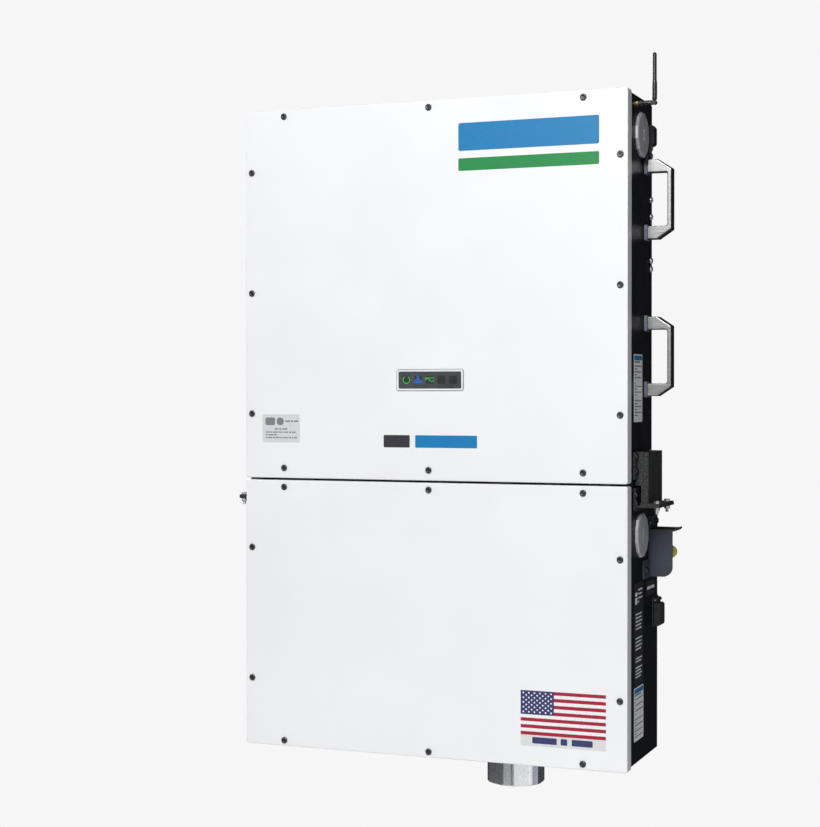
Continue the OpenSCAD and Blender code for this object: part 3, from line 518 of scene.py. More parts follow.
def tray(node, z0, z1, screws, windows, body):
    """A folded sheet cover: round folds, screw holes and any window cut through the face."""
    s = Shape(node + "_sheet")
    rows = [(corners(-HALF_W, HALF_W, z0, z1, 3.2), FLANGE - 0.3)]
    for i in range(7):
        a = math.radians(15 * i)
        inset = FOLD * (1 - math.cos(a))
        rows.append((corners(-HALF_W + inset, HALF_W - inset, z0 + inset, z1 - inset,
                             3.2 - 0.6 * inset), FOLD - FOLD * math.sin(a)))
    rings = [s.loop(placed(outline, "y", y)) for outline, y in rows]
    for a, b in zip(rings, rings[1:]):
        s.bridge(a, b)
    inner_rows = []
    for inset, y in ((COVER_T, FLANGE - 0.3), (COVER_T, COVER_T + 0.9),
                     (COVER_T + 0.3, COVER_T + 0.3), (COVER_T + 0.9, COVER_T)):
        inner_rows.append((corners(-HALF_W + inset, HALF_W - inset, z0 + inset, z1 - inset, 2.0), y))
    inner = [s.loop(placed(outline, "y", y)) for outline, y in inner_rows]
    for a, b in zip(inner, inner[1:]):
        s.bridge(a, b)
    lip = s.loop(placed(corners(-HALF_W + 0.7, HALF_W - 0.7, z0 + 0.7, z1 - 0.7, 2.6), "y", FLANGE))
    s.bridge(lip, rings[0])
    s.bridge(lip, inner[0])
    outlines = [circle(x, z, 3.5, 24) for x, z in screws] + windows
    for_front, for_back = [rings[-1]], [inner[-1]]
    for outline in outlines:
        front = s.loop(placed(outline, "y", 0.0))
        back = s.loop(placed(outline, "y", COVER_T))
        s.bridge(front, back)
        for_front.append(front)
        for_back.append(back)
    for loops in (for_front, for_back):
        edges = []
        for points in loops:
            for i, vert in enumerate(points):
                after = points[(i + 1) % len(points)]
                edges.append(s.bm.edges.get((vert, after)) or s.bm.edges.new((vert, after)))
        bmesh.ops.triangle_fill(s.bm, use_beauty=True, use_dissolve=False, edges=edges)
    return smooth_faces(s.finish("white", node, body, smooth=50))


DISPLAY = local("display_bezel")
DISPLAY_X = (DISPLAY[0][0] + DISPLAY[1][0]) / 2
DISPLAY_Z = (DISPLAY[0][2] + DISPLAY[1][2]) / 2
BEZEL_W = (DISPLAY[1][0] - DISPLAY[0][0]) / 2
BEZEL_H = (DISPLAY[1][2] - DISPLAY[0][2]) / 2


def panel(inset, radius):
    return corners(DISPLAY_X - BEZEL_W + inset, DISPLAY_X + BEZEL_W - inset,
                   DISPLAY_Z - BEZEL_H + inset, DISPLAY_Z + BEZEL_H - inset, radius)


tray("power_head_cover", POWER_Z0, TOP, POWER_SCREWS, [panel(4.0, 1.5)], "inverter")
tray("wiring_box_cover", 0.0, BOX_TOP, WIRING_SCREWS, [], "wiring_cover")

for cover_node, cover_body, points in (("power_cover_screws", "inverter", POWER_SCREWS),
                                       ("wiring_cover_screws", "wiring_cover", WIRING_SCREWS)):
    shape = Shape(cover_node + "_fine")
    for px, pz in points:
        cover_screw(shape, px, pz)
    smooth_faces(shape.finish("dark_screw", cover_node, cover_body, smooth=32))

# ---------------------------------------------------------------- display
shape = Shape("display_bezel_frame")
shape.stack("y", [(panel(0.3, 2.8), 0.0), (panel(0.0, 3.0), -0.3), (panel(0.0, 3.0), -1.0),
                       (panel(0.45, 2.8), -1.5), (panel(2.6, 2.2), -1.5), (panel(3.0, 2.0), -1.2),
                       (panel(3.0, 2.0), -0.4), (panel(6.0, 1.0), -0.4), (panel(6.0, 1.0), 4.5),
                       (panel(4.1, 1.4), 4.5), (panel(4.1, 1.4), 0.0)], closed=True)
smooth_faces(shape.finish("bezel", "display_bezel", smooth=40))

# a dark rubber ring round the bezel's edge: painted shade, standing in for the shadow line where the bezel
# steps off the cover
shape = Shape("display_bezel_shade_ring")
shape.ring(panel(-0.7, 3.6), panel(0.2, 3.0), "y", 0.0, -0.35)
shape.finish("gasket", smooth=40)

shape = Shape("display_window_pane")
shape.stack("y", [(panel(3.1, 1.9), -0.4), (panel(3.1, 1.9), -0.9), (panel(3.4, 1.6), -1.1)])
smooth_faces(shape.finish("window", "display_window", smooth=40))

ICON_X = [DISPLAY_X + 19 * i for i in range(-2, 3)]
ICON_Z = DISPLAY_Z + 0.4
TILE = 6.2
FACE_Y = -1.1
shape = Shape("display_icon_tiles")
for ix in ICON_X:
    shape.stack("y", [(corners(ix - TILE, ix + TILE, ICON_Z - TILE, ICON_Z + TILE, 0.8), y)
                           for y in (FACE_Y, FACE_Y - 0.08)])
shape.finish("tile", smooth=30, slot="smoked_window")


def flat_strip(s, points, width, height=0.16):
    """A thin raised band on the display, along a path of (x, z) points."""
    left, right = [], []
    for i, (x, z) in enumerate(points):
        x0, z0 = points[max(0, i - 1)]
        x1, z1 = points[min(len(points) - 1, i + 1)]
        length = math.hypot(x1 - x0, z1 - z0)
        nx, nz = -(z1 - z0) / length * width / 2, (x1 - x0) / length * width / 2
        left.append((x + nx, z + nz))
        right.append((x - nx, z - nz))
    s.prism(left + right[::-1], "y", FACE_Y, FACE_Y - height)


shape = Shape("display_icon_ring")
arc = [math.radians(122 + 296 * i / 28) for i in range(29)]
flat_strip(shape, [(ICON_X[0] + 5.4 * math.cos(a), ICON_Z + 5.4 * math.sin(a)) for a in arc], 1.1)
shape.finish("glow_green", smooth=30)

shape = Shape("display_icon_nodes")
SPOTS = ((0.0, 4.0), (-4.3, -3.2), (0.0, -3.2), (4.3, -3.2))
for dx, dz in SPOTS:
    shape.ring(circle(ICON_X[1] + dx, ICON_Z + dz, 2.3, 24), circle(ICON_X[1] + dx, ICON_Z + dz, 1.3, 24),
               "y", FACE_Y, FACE_Y - 0.18)
flat_strip(shape, [(ICON_X[1], ICON_Z + 1.8), (ICON_X[1], ICON_Z - 1.0)], 0.8)
flat_strip(shape, [(ICON_X[1] - 4.3, ICON_Z - 1.0), (ICON_X[1] - 4.3, ICON_Z + 0.5),
                   (ICON_X[1] + 4.3, ICON_Z + 0.5), (ICON_X[1] + 4.3, ICON_Z - 1.0)], 0.8, 0.14)
shape.finish("glow_blue", smooth=30)

shape = Shape("display_icon_wave")
flat_strip(shape, [(ICON_X[2] - 7.0, ICON_Z + 2.9), (ICON_X[2] + 7.0, ICON_Z + 2.9)], 1.0)
flat_strip(shape, [(ICON_X[2] - 7.0 + 14.0 * i / 28, ICON_Z - 0.2 + 2.4 * math.sin(math.pi * i / 14))
                   for i in range(29)], 1.0, 0.14)
shape.finish("glow_green", smooth=30)

# ---------------------------------------------------------------- printed graphics
INK = 0.12


def print_on_front(name, finish, boxes, y=0.0, body="inverter"):
    """Printed film on the front; boxes are (x0, x1, z0, z1, radius)."""
    s = Shape(name)
    for x0, x1, z0, z1, radius in boxes:
        outline = corners(x0, x1, z0, z1, radius, 4)
        s.stack("y", [(outline, y), (outline, y - INK)])
    s.finish(finish, None, body, smooth=30, slot="white_powder_coat")


def words(u0, u1, top, pitch, height, rows, skip=()):
    """Rows of short bars that stand for lines of print, as boxes for the two helpers here."""
    lengths, boxes, n = (3.4, 1.6, 4.6, 2.4, 1.2, 3.8, 2.0), [], 0
    for row in range(rows):
        u, z = u0, top - pitch * row
        while row not in skip and u < u1 - height:
            wide = min(lengths[n % 7] * height, u1 - u)
            boxes.append((u, u + wide, z - height, z, height * 0.2))
            u, n = u + wide + height * 0.7, n + 1
            if n % 11 == 0:
                break
    return boxes


def print_on_side(name, finish, boxes, x=0.0):
    """Printed film on the right wall; boxes are (y0, y1, z0, z1, radius)."""
    s = Shape(name)
    for y0, y1, z0, z1, radius in boxes:
        outline = corners(y0, y1, z0, z1, radius, 4)
        s.stack("x", [(outline, WALL_X + x), (outline, WALL_X + x + INK)])
    s.finish(finish, smooth=30, slot="black_paint")


print_on_front("brand_bar_upper", "ink_blue", [(48, 267, 920, 962, 3)])
print_on_front("brand_bar_lower", "ink_green", [(48, 267, 890, 909, 2)])
print_on_front("model_bar_dark", "ink_dark", [(-74, -31, 472, 491, 1.5)])
print_on_front("model_bar_blue", "ink_blue", [(-22, 78, 472, 491, 1.5)])
print_on_front("notice_plate", "label_pale", [(-281, -216, 478, 522, 2)])
print_on_front("notice_bars", "ink_grey",
               [(-276, -259, 505, 517, 3), (-256, -244, 505, 517, 5)] + words(-241, -219, 512.5, 4, 2.4, 1)
               + words(-260, -238, 500, 4, 2.0, 1) + words(-275, -221, 495, 4.3, 1.9, 3), -INK)
FLAG_TOP, STRIPE = 112.5, 5.08


def print_on_film(name, finish, boxes, y=0.0):
    print_on_front(name, finish, boxes, y, "wiring_cover")


print_on_film("sticker_ground", "sticker", [(147, 278, 30, FLAG_TOP, 1)])
print_on_film("sticker_field", "label_white",
               [(147, 278, FLAG_TOP - 13 * STRIPE, FLAG_TOP, 0.5)], -INK)
print_on_film("sticker_bars", "ink_red",
               [(198.6 if i < 4 else 147, 278, FLAG_TOP - STRIPE * (2 * i + 1),
                FLAG_TOP - STRIPE * 2 * i, 0.3) for i in range(7)], -2 * INK)
print_on_film("sticker_block", "ink_navy",
               [(147, 198.6, FLAG_TOP - 7 * STRIPE, FLAG_TOP, 0.5)], -2 * INK)
shape = Shape("sticker_dots")
for row in range(9):
    for i in range(6 - row % 2):
        dot = circle(151.3 + 8.6 * i + 4.3 * (row % 2), FLAG_TOP - 3.55 * (row + 1), 1.25, 10)
        shape.stack("y", [(dot, -3 * INK), (dot, -4 * INK)])
shape.finish("label_white", body="wiring_cover", smooth=30, slot="white_powder_coat")
print_on_film("sticker_caption", "ink_navy",
               [(165, 203, 34, 43.5, 1.5), (209, 219, 34, 43.5, 1.5), (226, 258, 34, 43.5, 1.5)], -INK)

print_on_side("nameplate_upper", "ink_white", [(44, 95, 512, 613, 2)])
print_on_side("nameplate_upper_head", "ink_blue", [(46, 93, 604, 611, 1)], INK)
print_on_side("nameplate_upper_rule", "ink_green", [(46, 80, 600.5, 602.5, 0.5)], INK)
print_on_side("nameplate_upper_print", "ink_dark", words(49, 90, 596, 4.3, 1.5, 18, (5, 11)), INK)
print_on_side("nameplate_lower", "ink_white", [(47, 104, 36, 116, 2)])
print_on_side("nameplate_lower_head", "ink_blue", [(49, 102, 107, 114, 1)], INK)
print_on_side("nameplate_lower_rule", "ink_green", [(49, 88, 103.5, 105.5, 0.5)], INK)
print_on_side("nameplate_lower_print", "ink_dark", words(52, 99, 99.5, 4.3, 1.5, 14, (6,)), INK)
print_on_side("notice_column", "label_black", [(47, 102, 119, 271, 2)])
print_on_side("notice_column_print", "ink_white",
              words(72, 96, 262, 6, 2.3, 4) + words(56, 94, 226, 5.4, 2.1, 5)
              + words(56, 94, 190, 5.4, 2.1, 4) + words(56, 94, 160, 4.6, 2.0, 7, (2,))
              + [(54, 66, 252, 258, 2.5), (54, 66, 240, 250, 1)], INK)
print_on_side("side_notice", "label_black", [(121, 179, 246, 268, 2)])
print_on_side("side_notice_print", "ink_white", words(127, 173, 259.5, 8, 4.6, 1), INK)

# ---------------------------------------------------------------- handles
HANDLE = local("handle_upper_right")
HANDLE_Y = (HANDLE[0][1], HANDLE[1][1])
HANDLE_OUT = HANDLE[1][0] - WALL_X
HANDLE_HALF = 60.0
HANDLE_Z = {"upper": 847.5, "lower": 610.5}
PAD_T = 4.5


def handle(node, side, zc):
    h, leg, grip, out, foot = HANDLE_HALF, 19.5, 6.5, WALL_X + HANDLE_OUT, WALL_X + PAD_T
    back = [(out - 22.6, -h), (out - 0.5, -h + 14.9), (out - 0.5, h - 14.9), (out - 22.6, h)]
    front = [(out - 21, -h), (out, -h + 14), (out, h - 14), (out - 21, h)]
    outline = [(foot, -h)] + back + [
        (foot, h), (foot, h - leg), (out - grip - 2, h - leg), (out - grip, h - leg - 2),
        (out - grip, -h + leg + 2), (out - grip - 2, -h + leg), (foot, -h + leg)]
    s = Shape(node + "_bar")
    s.prism([(side * x, zc + z) for x, z in outline], "y", *HANDLE_Y)
    s.finish("handle", node, bevel=1.5, steps=3)
    # a thin dark satin sheet over the grip's outer face and its corners: painted shade, standing in for the
    # shade on the outward face
    band = Shape(node + "_band")
    band.prism([(side * x, zc + z) for x, z in front + back[::-1]], "y",
               HANDLE_Y[0] + 1.2, HANDLE_Y[1] - 0.6)
    band.finish("band", slot="aluminium_handle")
    pads = Shape(node + "_pads")
    for sign in (-1, 1):
        z = zc + sign * (h - 10)
        pad = corners(*HANDLE_Y, z - 12, z + 12, 2.5)
        pads.stack("x", [(pad, WALL_X), (pad, WALL_X + PAD_T)], side=side)
    pads.finish("pad", node, bevel=0.5)


for row, zc in HANDLE_Z.items():
    for hand, side in (("right", 1), ("left", -1)):
        handle(f"handle_{row}_{hand}", side, zc)

# ---------------------------------------------------------------- plugs and hub
PLUG_Y = 84.0
INNER_X = WALL_X - 2.5


def keyway(z):
    """A long narrow key slot, drawn with as many points as the plug's rings."""
    points = []
    for y, dz in circle(0.0, 0.0, 1.0, 96):
        points.append((PLUG_Y + 1.3 * max(-1.0, min(1.0, 2.2 * y)),
                       z + 9.0 * max(-1.0, min(1.0, 1.2 * dz))))
    return points


def plug(node, side, z):
    def faceted(*places):
        return [(flats(PLUG_Y, z, apothem, 12, 96), x) for apothem, x in places]

    def rounds(*places):
        return turned(PLUG_Y, z, 96, *places)
    face = WALL_X + 5.2
    rows = rounds((22, WALL_X + 1), (22, INNER_X - 6.5), (22.5, INNER_X - 7))
    rows += thread(PLUG_Y, z, 26.5, INNER_X - 6.8, INNER_X - 5, 0.9, 96, 0.6)
    rows += faceted((30.0, INNER_X - 5), (31.0, INNER_X - 4.4), (31.0, INNER_X - 0.6), (30.4, INNER_X))
    rows += rounds((26.5, INNER_X), (26.5, WALL_X + 0.2))
    rows += faceted((32.6, WALL_X), (33, WALL_X + 0.5), (33, WALL_X + 3.2), (32.7, WALL_X + 3.8),
                    (31.0, WALL_X + 4.9), (30.2, face))
    rows += rounds((27.0, face), (26.2, WALL_X + 4.9), (25.4, WALL_X + 4.9), (24.6, face), (10.6, face))
    rows += [(keyway(z), WALL_X + 5.1), (keyway(z), WALL_X + 3.2)]
    s = Shape(node + "_cast")
    s.stack("x", rows, side=side)
    smooth_faces(s.finish("plug", node, smooth=22))


for row, z in (("upper", 941.5), ("lower", 342.0)):
    for hand, side in (("right", 1), ("left", -1)):
        plug(f"plug_{row}_{hand}", side, z)

HUB = local("conduit_hub")
HUB_X, HUB_Y = (HUB[0][0] + HUB[1][0]) / 2, (HUB[0][1] + HUB[1][1]) / 2
HUB_Z = HUB[0][2]
HUB_R = 44.0
HUB_FLATS = 41.5
BORE_R, ENTRY_R = 31.5, 36.5


def hub_outline(trim, limit=FULL):
    """A hexagon with cut corners: wide flats 30 degrees off the front, narrow flats between."""
    points = []
    for i in range(96):
        a = 2 * math.pi * i / 96
        wide = ((a + math.pi / 6) % (math.pi / 3)) - math.pi / 6
        narrow = (a % (math.pi / 3)) - math.pi / 6
        r = min((HUB_FLATS - trim) / math.cos(wide), (HUB_R - trim) / math.cos(narrow), limit)
        points.append((HUB_X + r * math.cos(a), HUB_Y + r * math.sin(a)))
    return points


def hub_circles(*places):
    return turned(HUB_X, HUB_Y, 96, *places)


rows = [(hub_outline(0.4, HUB_FLATS + 0.3), HUB_Z), (hub_outline(0.0, HUB_R - 0.2), HUB_Z + 0.9),
        (hub_outline(0.0), HUB_Z + 2.2), (hub_outline(0.0), 1.2), (hub_outline(0.7), 2.0)]
rows += hub_circles((38.0, 2.0)) + thread(HUB_X, HUB_Y, 38.0, 4.6, 17.2, 1.6, 96, 0.7)
rows += hub_circles((37.2, 18), (BORE_R + 0.6, 18), (BORE_R, 17.2), (BORE_R, HUB_Z + 22.6),
                    (BORE_R + 0.5, HUB_Z + 22), (ENTRY_R, HUB_Z + 22))
rows += hub_circles(*((ENTRY_R + (0.6 if i % 2 else 0.0), HUB_Z + 21 - i * 0.9) for i in range(22)))
rows += hub_circles((ENTRY_R + 0.8, HUB_Z + 0.4), (ENTRY_R + 1.3, HUB_Z))
shape = Shape("conduit_hub_cast")
shape.stack("z", rows, closed=True)
smooth_faces(shape.finish("hub", "conduit_hub", smooth=16))

NUT = local("hub_locknut")
NUT_Z0, NUT_Z1 = NUT[0][2], NUT[1][2]
shape = Shape("hub_locknut_cast")
rows = [(flats(HUB_X, HUB_Y, apothem, 8, 96), z) for apothem, z in
        ((42.6, NUT_Z0), (43.2, NUT_Z0 + 0.6), (43.2, NUT_Z1 - 0.8), (42.4, NUT_Z1))]
rows += hub_circles((38.6, NUT_Z1), (38.1, NUT_Z1 - 0.5), (38.1, NUT_Z0))
shape.stack("z", rows, closed=True)
for i in range(8):
    a = math.radians(22.5 + 45 * i)
    cx, cy = HUB_X + 45.2 * math.cos(a), HUB_Y + 45.2 * math.sin(a)
    shape.stack("z", [([(cx + 3 * math.cos(a + da), cy + 3 * math.sin(a + da))
                             for da in (0.8, 2.3, 3.9, 5.4)], z) for z in (NUT_Z0 + 0.2, NUT_Z1 - 0.6)])
smooth_faces(shape.finish("zinc", "hub_locknut", smooth=30, slot="zinc_sheet"))

# ---------------------------------------------------------------- side hardware


def hex_bolt(s, x, y, low, high, m=2.5):
    """Bolt of thread radius m, two washers and a nut about a vertical axis, clamping low to high."""
    flat, t = 3.2 * m, 0.4 * m
    for z0, z1 in ((low - t, low), (high, high + t)):
        s.lathe([(m + 0.2, z0), (2 * m - 0.2, z0), (2 * m, z0 + 0.2), (2 * m, z1 - 0.2),
                 (2 * m - 0.2, z1), (m + 0.2, z1)], "z", (x, y), 36, closed=True)
    top, nut = high + t, low - t
    corner = flat / 2 + 0.3
    rows = turned(x, y, 36, (m - 0.9, high - 16), (m - 0.2, high - 15.3))
    rows += thread(x, y, m, high - 15, top - 0.2, 0.8, 36, 0.35)
    rows += turned(x, y, 36, (m, top), (flat / 2 - 0.2, top), (flat, top + 0.2, corner),
                   (flat, top + 0.6, FULL), (flat, top + 2.3, FULL), (flat, top + 2.8, corner),
                   (flat / 2 - 0.3, top + 2.95), (flat / 2 - 1.1, top + 2.95),
                   (flat / 2 - 1.4, top + 2.75))
    s.stack("z", rows)
    s.stack("z", turned(x, y, 36, (m + 0.1, nut - 4), (flat / 2 - 0.3, nut - 4),
                        (flat, nut - 3.7, corner), (flat, nut - 3.2, FULL), (flat, nut - 0.8, FULL),
                        (flat, nut - 0.3, corner), (flat / 2 - 0.2, nut), (m + 0.1, nut)), closed=True)


PLATE_LOW = local("joint_bracket_lower_right")[0][2] + 5
BOLTS = local("joint_bolts")
BOLT_Y = (BOLTS[0][1] + 5, BOLTS[1][1] - 5)
BOLT_X = BOLTS[1][0] - 5
shape = Shape("joint_bolts_fine")
for side in (-1, 1):
    for by in BOLT_Y:
        hex_bolt(shape, side * BOLT_X, by, PLATE_LOW, PLATE_LOW + 6)
smooth_faces(shape.finish("bright_screw", "joint_bolts", smooth=30))

shape = Shape("side_screws_fine")


def button_screw(s, side, y, z, seat):
    rows = turned(y, z, SCREW_STEPS, (2.0, INNER_X - 6), (2.7, INNER_X - 5.2))
    rows += thread(y, z, 2.9, INNER_X - 5, seat - 0.8, 1.2, SCREW_STEPS, 0.4)
    rows += turned(y, z, SCREW_STEPS, (2.9, seat), (4.8, seat), (5.0, seat + 0.35), (4.75, seat + 1.2),
                   (4.3, seat + 2.0), (3.6, seat + 2.65), (2.8, seat + 3.0), (2.1, seat + 3.0),
                   (3.0, seat + 2.85, FULL), (3.0, seat + 1.3, FULL))
    s.stack("x", rows, side=side)


for side in (-1, 1):
    for y, z in ((47, 440), (47, 462), (47.5, 393), (47.5, 405)):
        button_screw(shape, side, y, z, WALL_X + 3)
GUARD_TOP = local("disconnect_guard")[1][2]
for y, z in ((137, GUARD_TOP - 9), (177, GUARD_TOP - 9), (112, 288)):
    button_screw(shape, 1, y, z, WALL_X + 2.5)
smooth_faces(shape.finish("dark_nickel", "side_screws", smooth=32, slot="bright_screw"))

shape = Shape("side_screws_bright")
for side in (-1, 1):
    for z in (745, 758, 825, 851, 918, 930):
        button_screw(shape, side, 148, z, WALL_X)
for side in (-1, 1):
    for z in (zc + dz for zc in sorted(HANDLE_Z.values()) for dz in (-50, 50)):
        shape.stack("x", turned(115, z, SCREW_STEPS, (6.0, INNER_X - 4, FULL), (6.0, INNER_X - 7.7, FULL),
                                (4.2, INNER_X - 8), (6.0, INNER_X - 8), (6.5, INNER_X - 7.4),
                                (6.5, INNER_X), (3.9, INNER_X), (3.9, WALL_X + 15.5),
                                (3.2, WALL_X + 16)), side=side)
smooth_faces(shape.finish("bright_screw", "side_screws", smooth=32))

# Disconnect handle: ribbed base disc and a bar grip with a domed edge
GRIP = local("disconnect_handle")
DISC_Y, DISC_Z = ((GRIP[0][i] + GRIP[1][i]) / 2 for i in (1, 2))
TIP_X = GRIP[1][0] - 10.5
RIB_R, RIB_DEPTH, RIBS = 22.0, 0.7, 24


def disc(*places):
    return turned(DISC_Y, DISC_Z, 144, *places)


ribbed = []
for i in range(144):
    a = 2 * math.pi * i / 144
    r = RIB_R - RIB_DEPTH * (0.5 - 0.5 * math.cos(RIBS * a))
    ribbed.append((DISC_Y + r * math.cos(a), DISC_Z + r * math.sin(a)))
rows = disc((4.0, WALL_X + 1), (21.6, WALL_X + 1), (22.0, WALL_X + 1.4))
rows += [(ribbed, WALL_X + 1.9), (ribbed, WALL_X + 5.6)]
rows += disc((21.2, WALL_X + 6.4), (20.4, WALL_X + 7.0), (4.0, WALL_X + 7.0))
shape = Shape("disconnect_handle_base")
shape.stack("x", rows, closed=True)
smooth_faces(shape.finish("yellow", "disconnect_handle", "disconnect", smooth=40))

shape = Shape("disconnect_handle_grip")
tip = [(TIP_X + 10.3 * math.cos(a), DISC_Z + 10.3 * math.sin(a))
       for a in (math.radians(-90 + 180 * i / 20) for i in range(21))]
profile = [(WALL_X + 6.5, DISC_Z - 10.3)] + tip + [(WALL_X + 6.5, DISC_Z + 10.3)]
levels = []
for offset, scale in ((-1.0, 0.80), (-0.94, 0.93), (-0.82, 0.99), (-0.6, 1.0), (0.6, 1.0), (0.82, 0.99),
                      (0.94, 0.93), (1.0, 0.80)):
    levels.append([(x if x < WALL_X + 7 else WALL_X + 7 + (x - WALL_X - 7) * (0.9 + 0.1 * scale),
                    DISC_Z + (z - DISC_Z) * scale, DISC_Y + offset * 20.0) for x, z in profile])
shape.loft([[(x, y, z) for x, z, y in level] for level in levels])
smooth_faces(shape.finish("yellow", "disconnect_handle", "disconnect", smooth=45))

# ---------------------------------------------------------------- antenna
ROD = local("antenna_rod")
ANT_X, ANT_Y = ((ROD[0][i] + ROD[1][i]) / 2 for i in (0, 1))
ANT_Z = ROD[0][2] + 3.4


def antenna_rounds(steps, *places):
    return turned(ANT_Y, ANT_Z, steps, *places)


shape = Shape("antenna_connector_turned")
rows = antenna_rounds(48, (2.4, INNER_X - 10), (3.0, INNER_X - 9.4))
rows += thread(ANT_Y, ANT_Z, 3.2, INNER_X - 9, WALL_X + 7.6, 0.8, 48, 0.35)
rows += antenna_rounds(48, (3.0, WALL_X + 8), (1.6, WALL_X + 8), (1.6, WALL_X + 18.6), (1.1, WALL_X + 19))
shape.stack("x", rows)
smooth_faces(shape.finish("brass", "antenna_connector", smooth=30))

shape = Shape("antenna_connector_nuts")
for x0, x1 in ((INNER_X - 3, INNER_X), (WALL_X, WALL_X + 2.5)):
    shape.stack("x", antenna_rounds(48, (3.1, x0), (8, x0, 4.2), (8, x0 + 0.4, FULL),
                                    (8, x1 - 0.4, FULL), (8, x1, 4.2), (3.1, x1)), closed=True)
smooth_faces(shape.finish("brass", "antenna_connector", smooth=30))

SLEEVE = local("antenna_elbow")[0][0]
knurled = []
for i in range(72):
    a, r = 2 * math.pi * i / 72, 4.15 - 0.25 * (i // 2 % 2)
    knurled.append((ANT_Y + r * math.cos(a), ANT_Z + r * math.sin(a)))
rows = antenna_rounds(72, (3.25, SLEEVE), (3.9, SLEEVE), (4.15, SLEEVE + 0.3))
rows += [(knurled, SLEEVE + 0.7), (knurled, SLEEVE + 7.2)]
rows += antenna_rounds(72, (4.15, SLEEVE + 7.5), (3.7, SLEEVE + 8.0), (3.55, SLEEVE + 8.2),
                       (3.55, ANT_X - 6.4), (3.1, ANT_X - 5.6), (1.65, WALL_X + 19.5),
                       (1.65, WALL_X + 8.5), (3.25, WALL_X + 8.4))
shape = Shape("antenna_elbow_sleeve")
shape.stack("x", rows, closed=True)
smooth_faces(shape.finish("dark_nickel", "antenna_elbow", "antenna_swivel", smooth=30,
                          slot="antenna_plastic"))

shape = Shape("antenna_elbow_fork")
for y0, y1 in ((ANT_Y - 3.6, ANT_Y - 1.9), (ANT_Y + 1.9, ANT_Y + 3.6)):
    outline = [(ANT_X - 6, ANT_Z - 3), (ANT_X, ANT_Z - 3)]
    outline += [(ANT_X + 3.6 * math.cos(a), ANT_Z + 3.6 * math.sin(a))
                for a in (math.radians(-80 + 160 * i / 14) for i in range(15))]
    outline += [(ANT_X, ANT_Z + 3), (ANT_X - 6, ANT_Z + 3)]
    shape.prism(outline, "y", y0, y1)
shape.box(ANT_X - 6.2, ANT_X - 4.7, ANT_Y - 3.5, ANT_Y + 3.5, ANT_Z - 2.9, ANT_Z + 2.9)
shape.finish("antenna", "antenna_elbow", "antenna_swivel", bevel=0.4)

shape = Shape("antenna_elbow_pin")
shape.lathe([(1.2, ANT_Y - 3.58), (1.6, ANT_Y - 3.5), (1.0, ANT_Y - 3.0), (1.0, ANT_Y + 3.0),
             (1.6, ANT_Y + 3.5), (1.2, ANT_Y + 3.58)], "y", (ANT_X, ANT_Z), 20)
smooth_faces(shape.finish("bright_screw", "antenna_elbow", "antenna_swivel", smooth=30,
                          slot="antenna_plastic"))

ROD_TOP = ROD[1][2]
shape = Shape("antenna_rod_moulded")
profile = [(2.6, ANT_Z + 4.0), (3.3, ANT_Z + 4.5), (3.7, ANT_Z + 5.2), (3.7, ANT_Z + 9), (3.45, ANT_Z + 9.4),
           (3.45, ANT_Z + 10.2), (3.7, ANT_Z + 10.6), (3.7, ANT_Z + 28.4), (3.55, ANT_Z + 29.4),
           (3.1, ANT_Z + 34), (3.1, ROD_TOP - 3.2)]
profile += [(3.1 * math.cos(math.radians(a)), ROD_TOP - 3.1 + 3.1 * math.sin(math.radians(a)))
            for a in (15, 30, 45, 60, 75, 86)]
shape.lathe(profile, "z", (ANT_X, ANT_Y), 40)
knuckle = circle(ANT_X, ANT_Z, 3.3, 28)
shape.prism(knuckle, "y", ANT_Y - 1.6, ANT_Y + 1.6)
shape.box(ANT_X - 2.4, ANT_X + 2.4, ANT_Y - 1.6, ANT_Y + 1.6, ANT_Z, ANT_Z + 5.5)
smooth_faces(shape.finish("antenna", "antenna_rod", "antenna", smooth=40))

# ---------------------------------------------------------------- parts shaped from their solids
for node, finish, bevel in (
        ("power_head_housing", "black", 1.0), ("wiring_box_housing", "black", 1.0),
        ("joining_collar", "duct", 0.6), ("joint_bracket_upper_right", "bracket", 0.7),
        ("joint_bracket_upper_left", "bracket", 0.7), ("joint_bracket_lower_right", "bracket", 0.6),
        ("joint_bracket_lower_left", "bracket", 0.6), ("port_cover", "rubber", 0.8),
        ("disconnect_guard", "guard", 0.7), ("disconnect_switch", "terminal", 0.8),
        ("switch_base", "switch", 0.4), ("heat_sink", "sink", 0.4), ("heat_sink_shroud", "duct", 0.5),
        ("fan_tray", "zinc", 0.4), ("fan_frames", "fan", 0.6), ("wall_bracket", "zinc", 0.6),
        ("hanger_brackets", "zinc", 0.5), ("dc_fuse_holders", "holder", 0.7),
        ("terminal_blocks", "terminal", 0.7), ("surge_protectors", "arrester", 0.7),
        ("ground_bar", "brass", 0.4), ("boost_inductors", "copper", 0.0),
        ("filter_chokes", "core", 0.8), ("dc_link_capacitors", "can", 1.2),
        ("power_modules", "module", 0.6), ("power_board", "board", 0.0),
        ("control_board", "board", 0.0), ("display_board", "board", 0.0)):
    soft_copy(node, finish, bevel=bevel)
soft_copy("switch_cover", "switch", "switch_flap", 1.1, 3)
soft_copy("switch_rocker", "rubber", "rocker", 0.6)
for node, body in (("fan_rotor_left", "fan_left"), ("fan_rotor_centre", "fan_centre"),
                   ("fan_rotor_right", "fan_right")):
    soft_copy(node, "fan", body, 0.3)

# black rubber sheet over the roof of the disconnect's guard, out from the wall: painted shade, as the roof's
# top gets no light from above
ROOF_Z = GUARD_TOP - 20
shape = Shape("guard_roof_painted_shade")
shape.stack("z", [(corners(WALL_X + 2.5, WALL_X + 38, 136.5, 183.2, 1.5), ROOF_Z),
                       (corners(WALL_X + 2.5, WALL_X + 38, 136.5, 183.2, 1.5), ROOF_Z + 0.8),
                       (corners(WALL_X + 3.0, WALL_X + 37.5, 137.0, 182.7, 1.2), ROOF_Z + 1.2)])
smooth_faces(shape.finish("rubber", smooth=40))

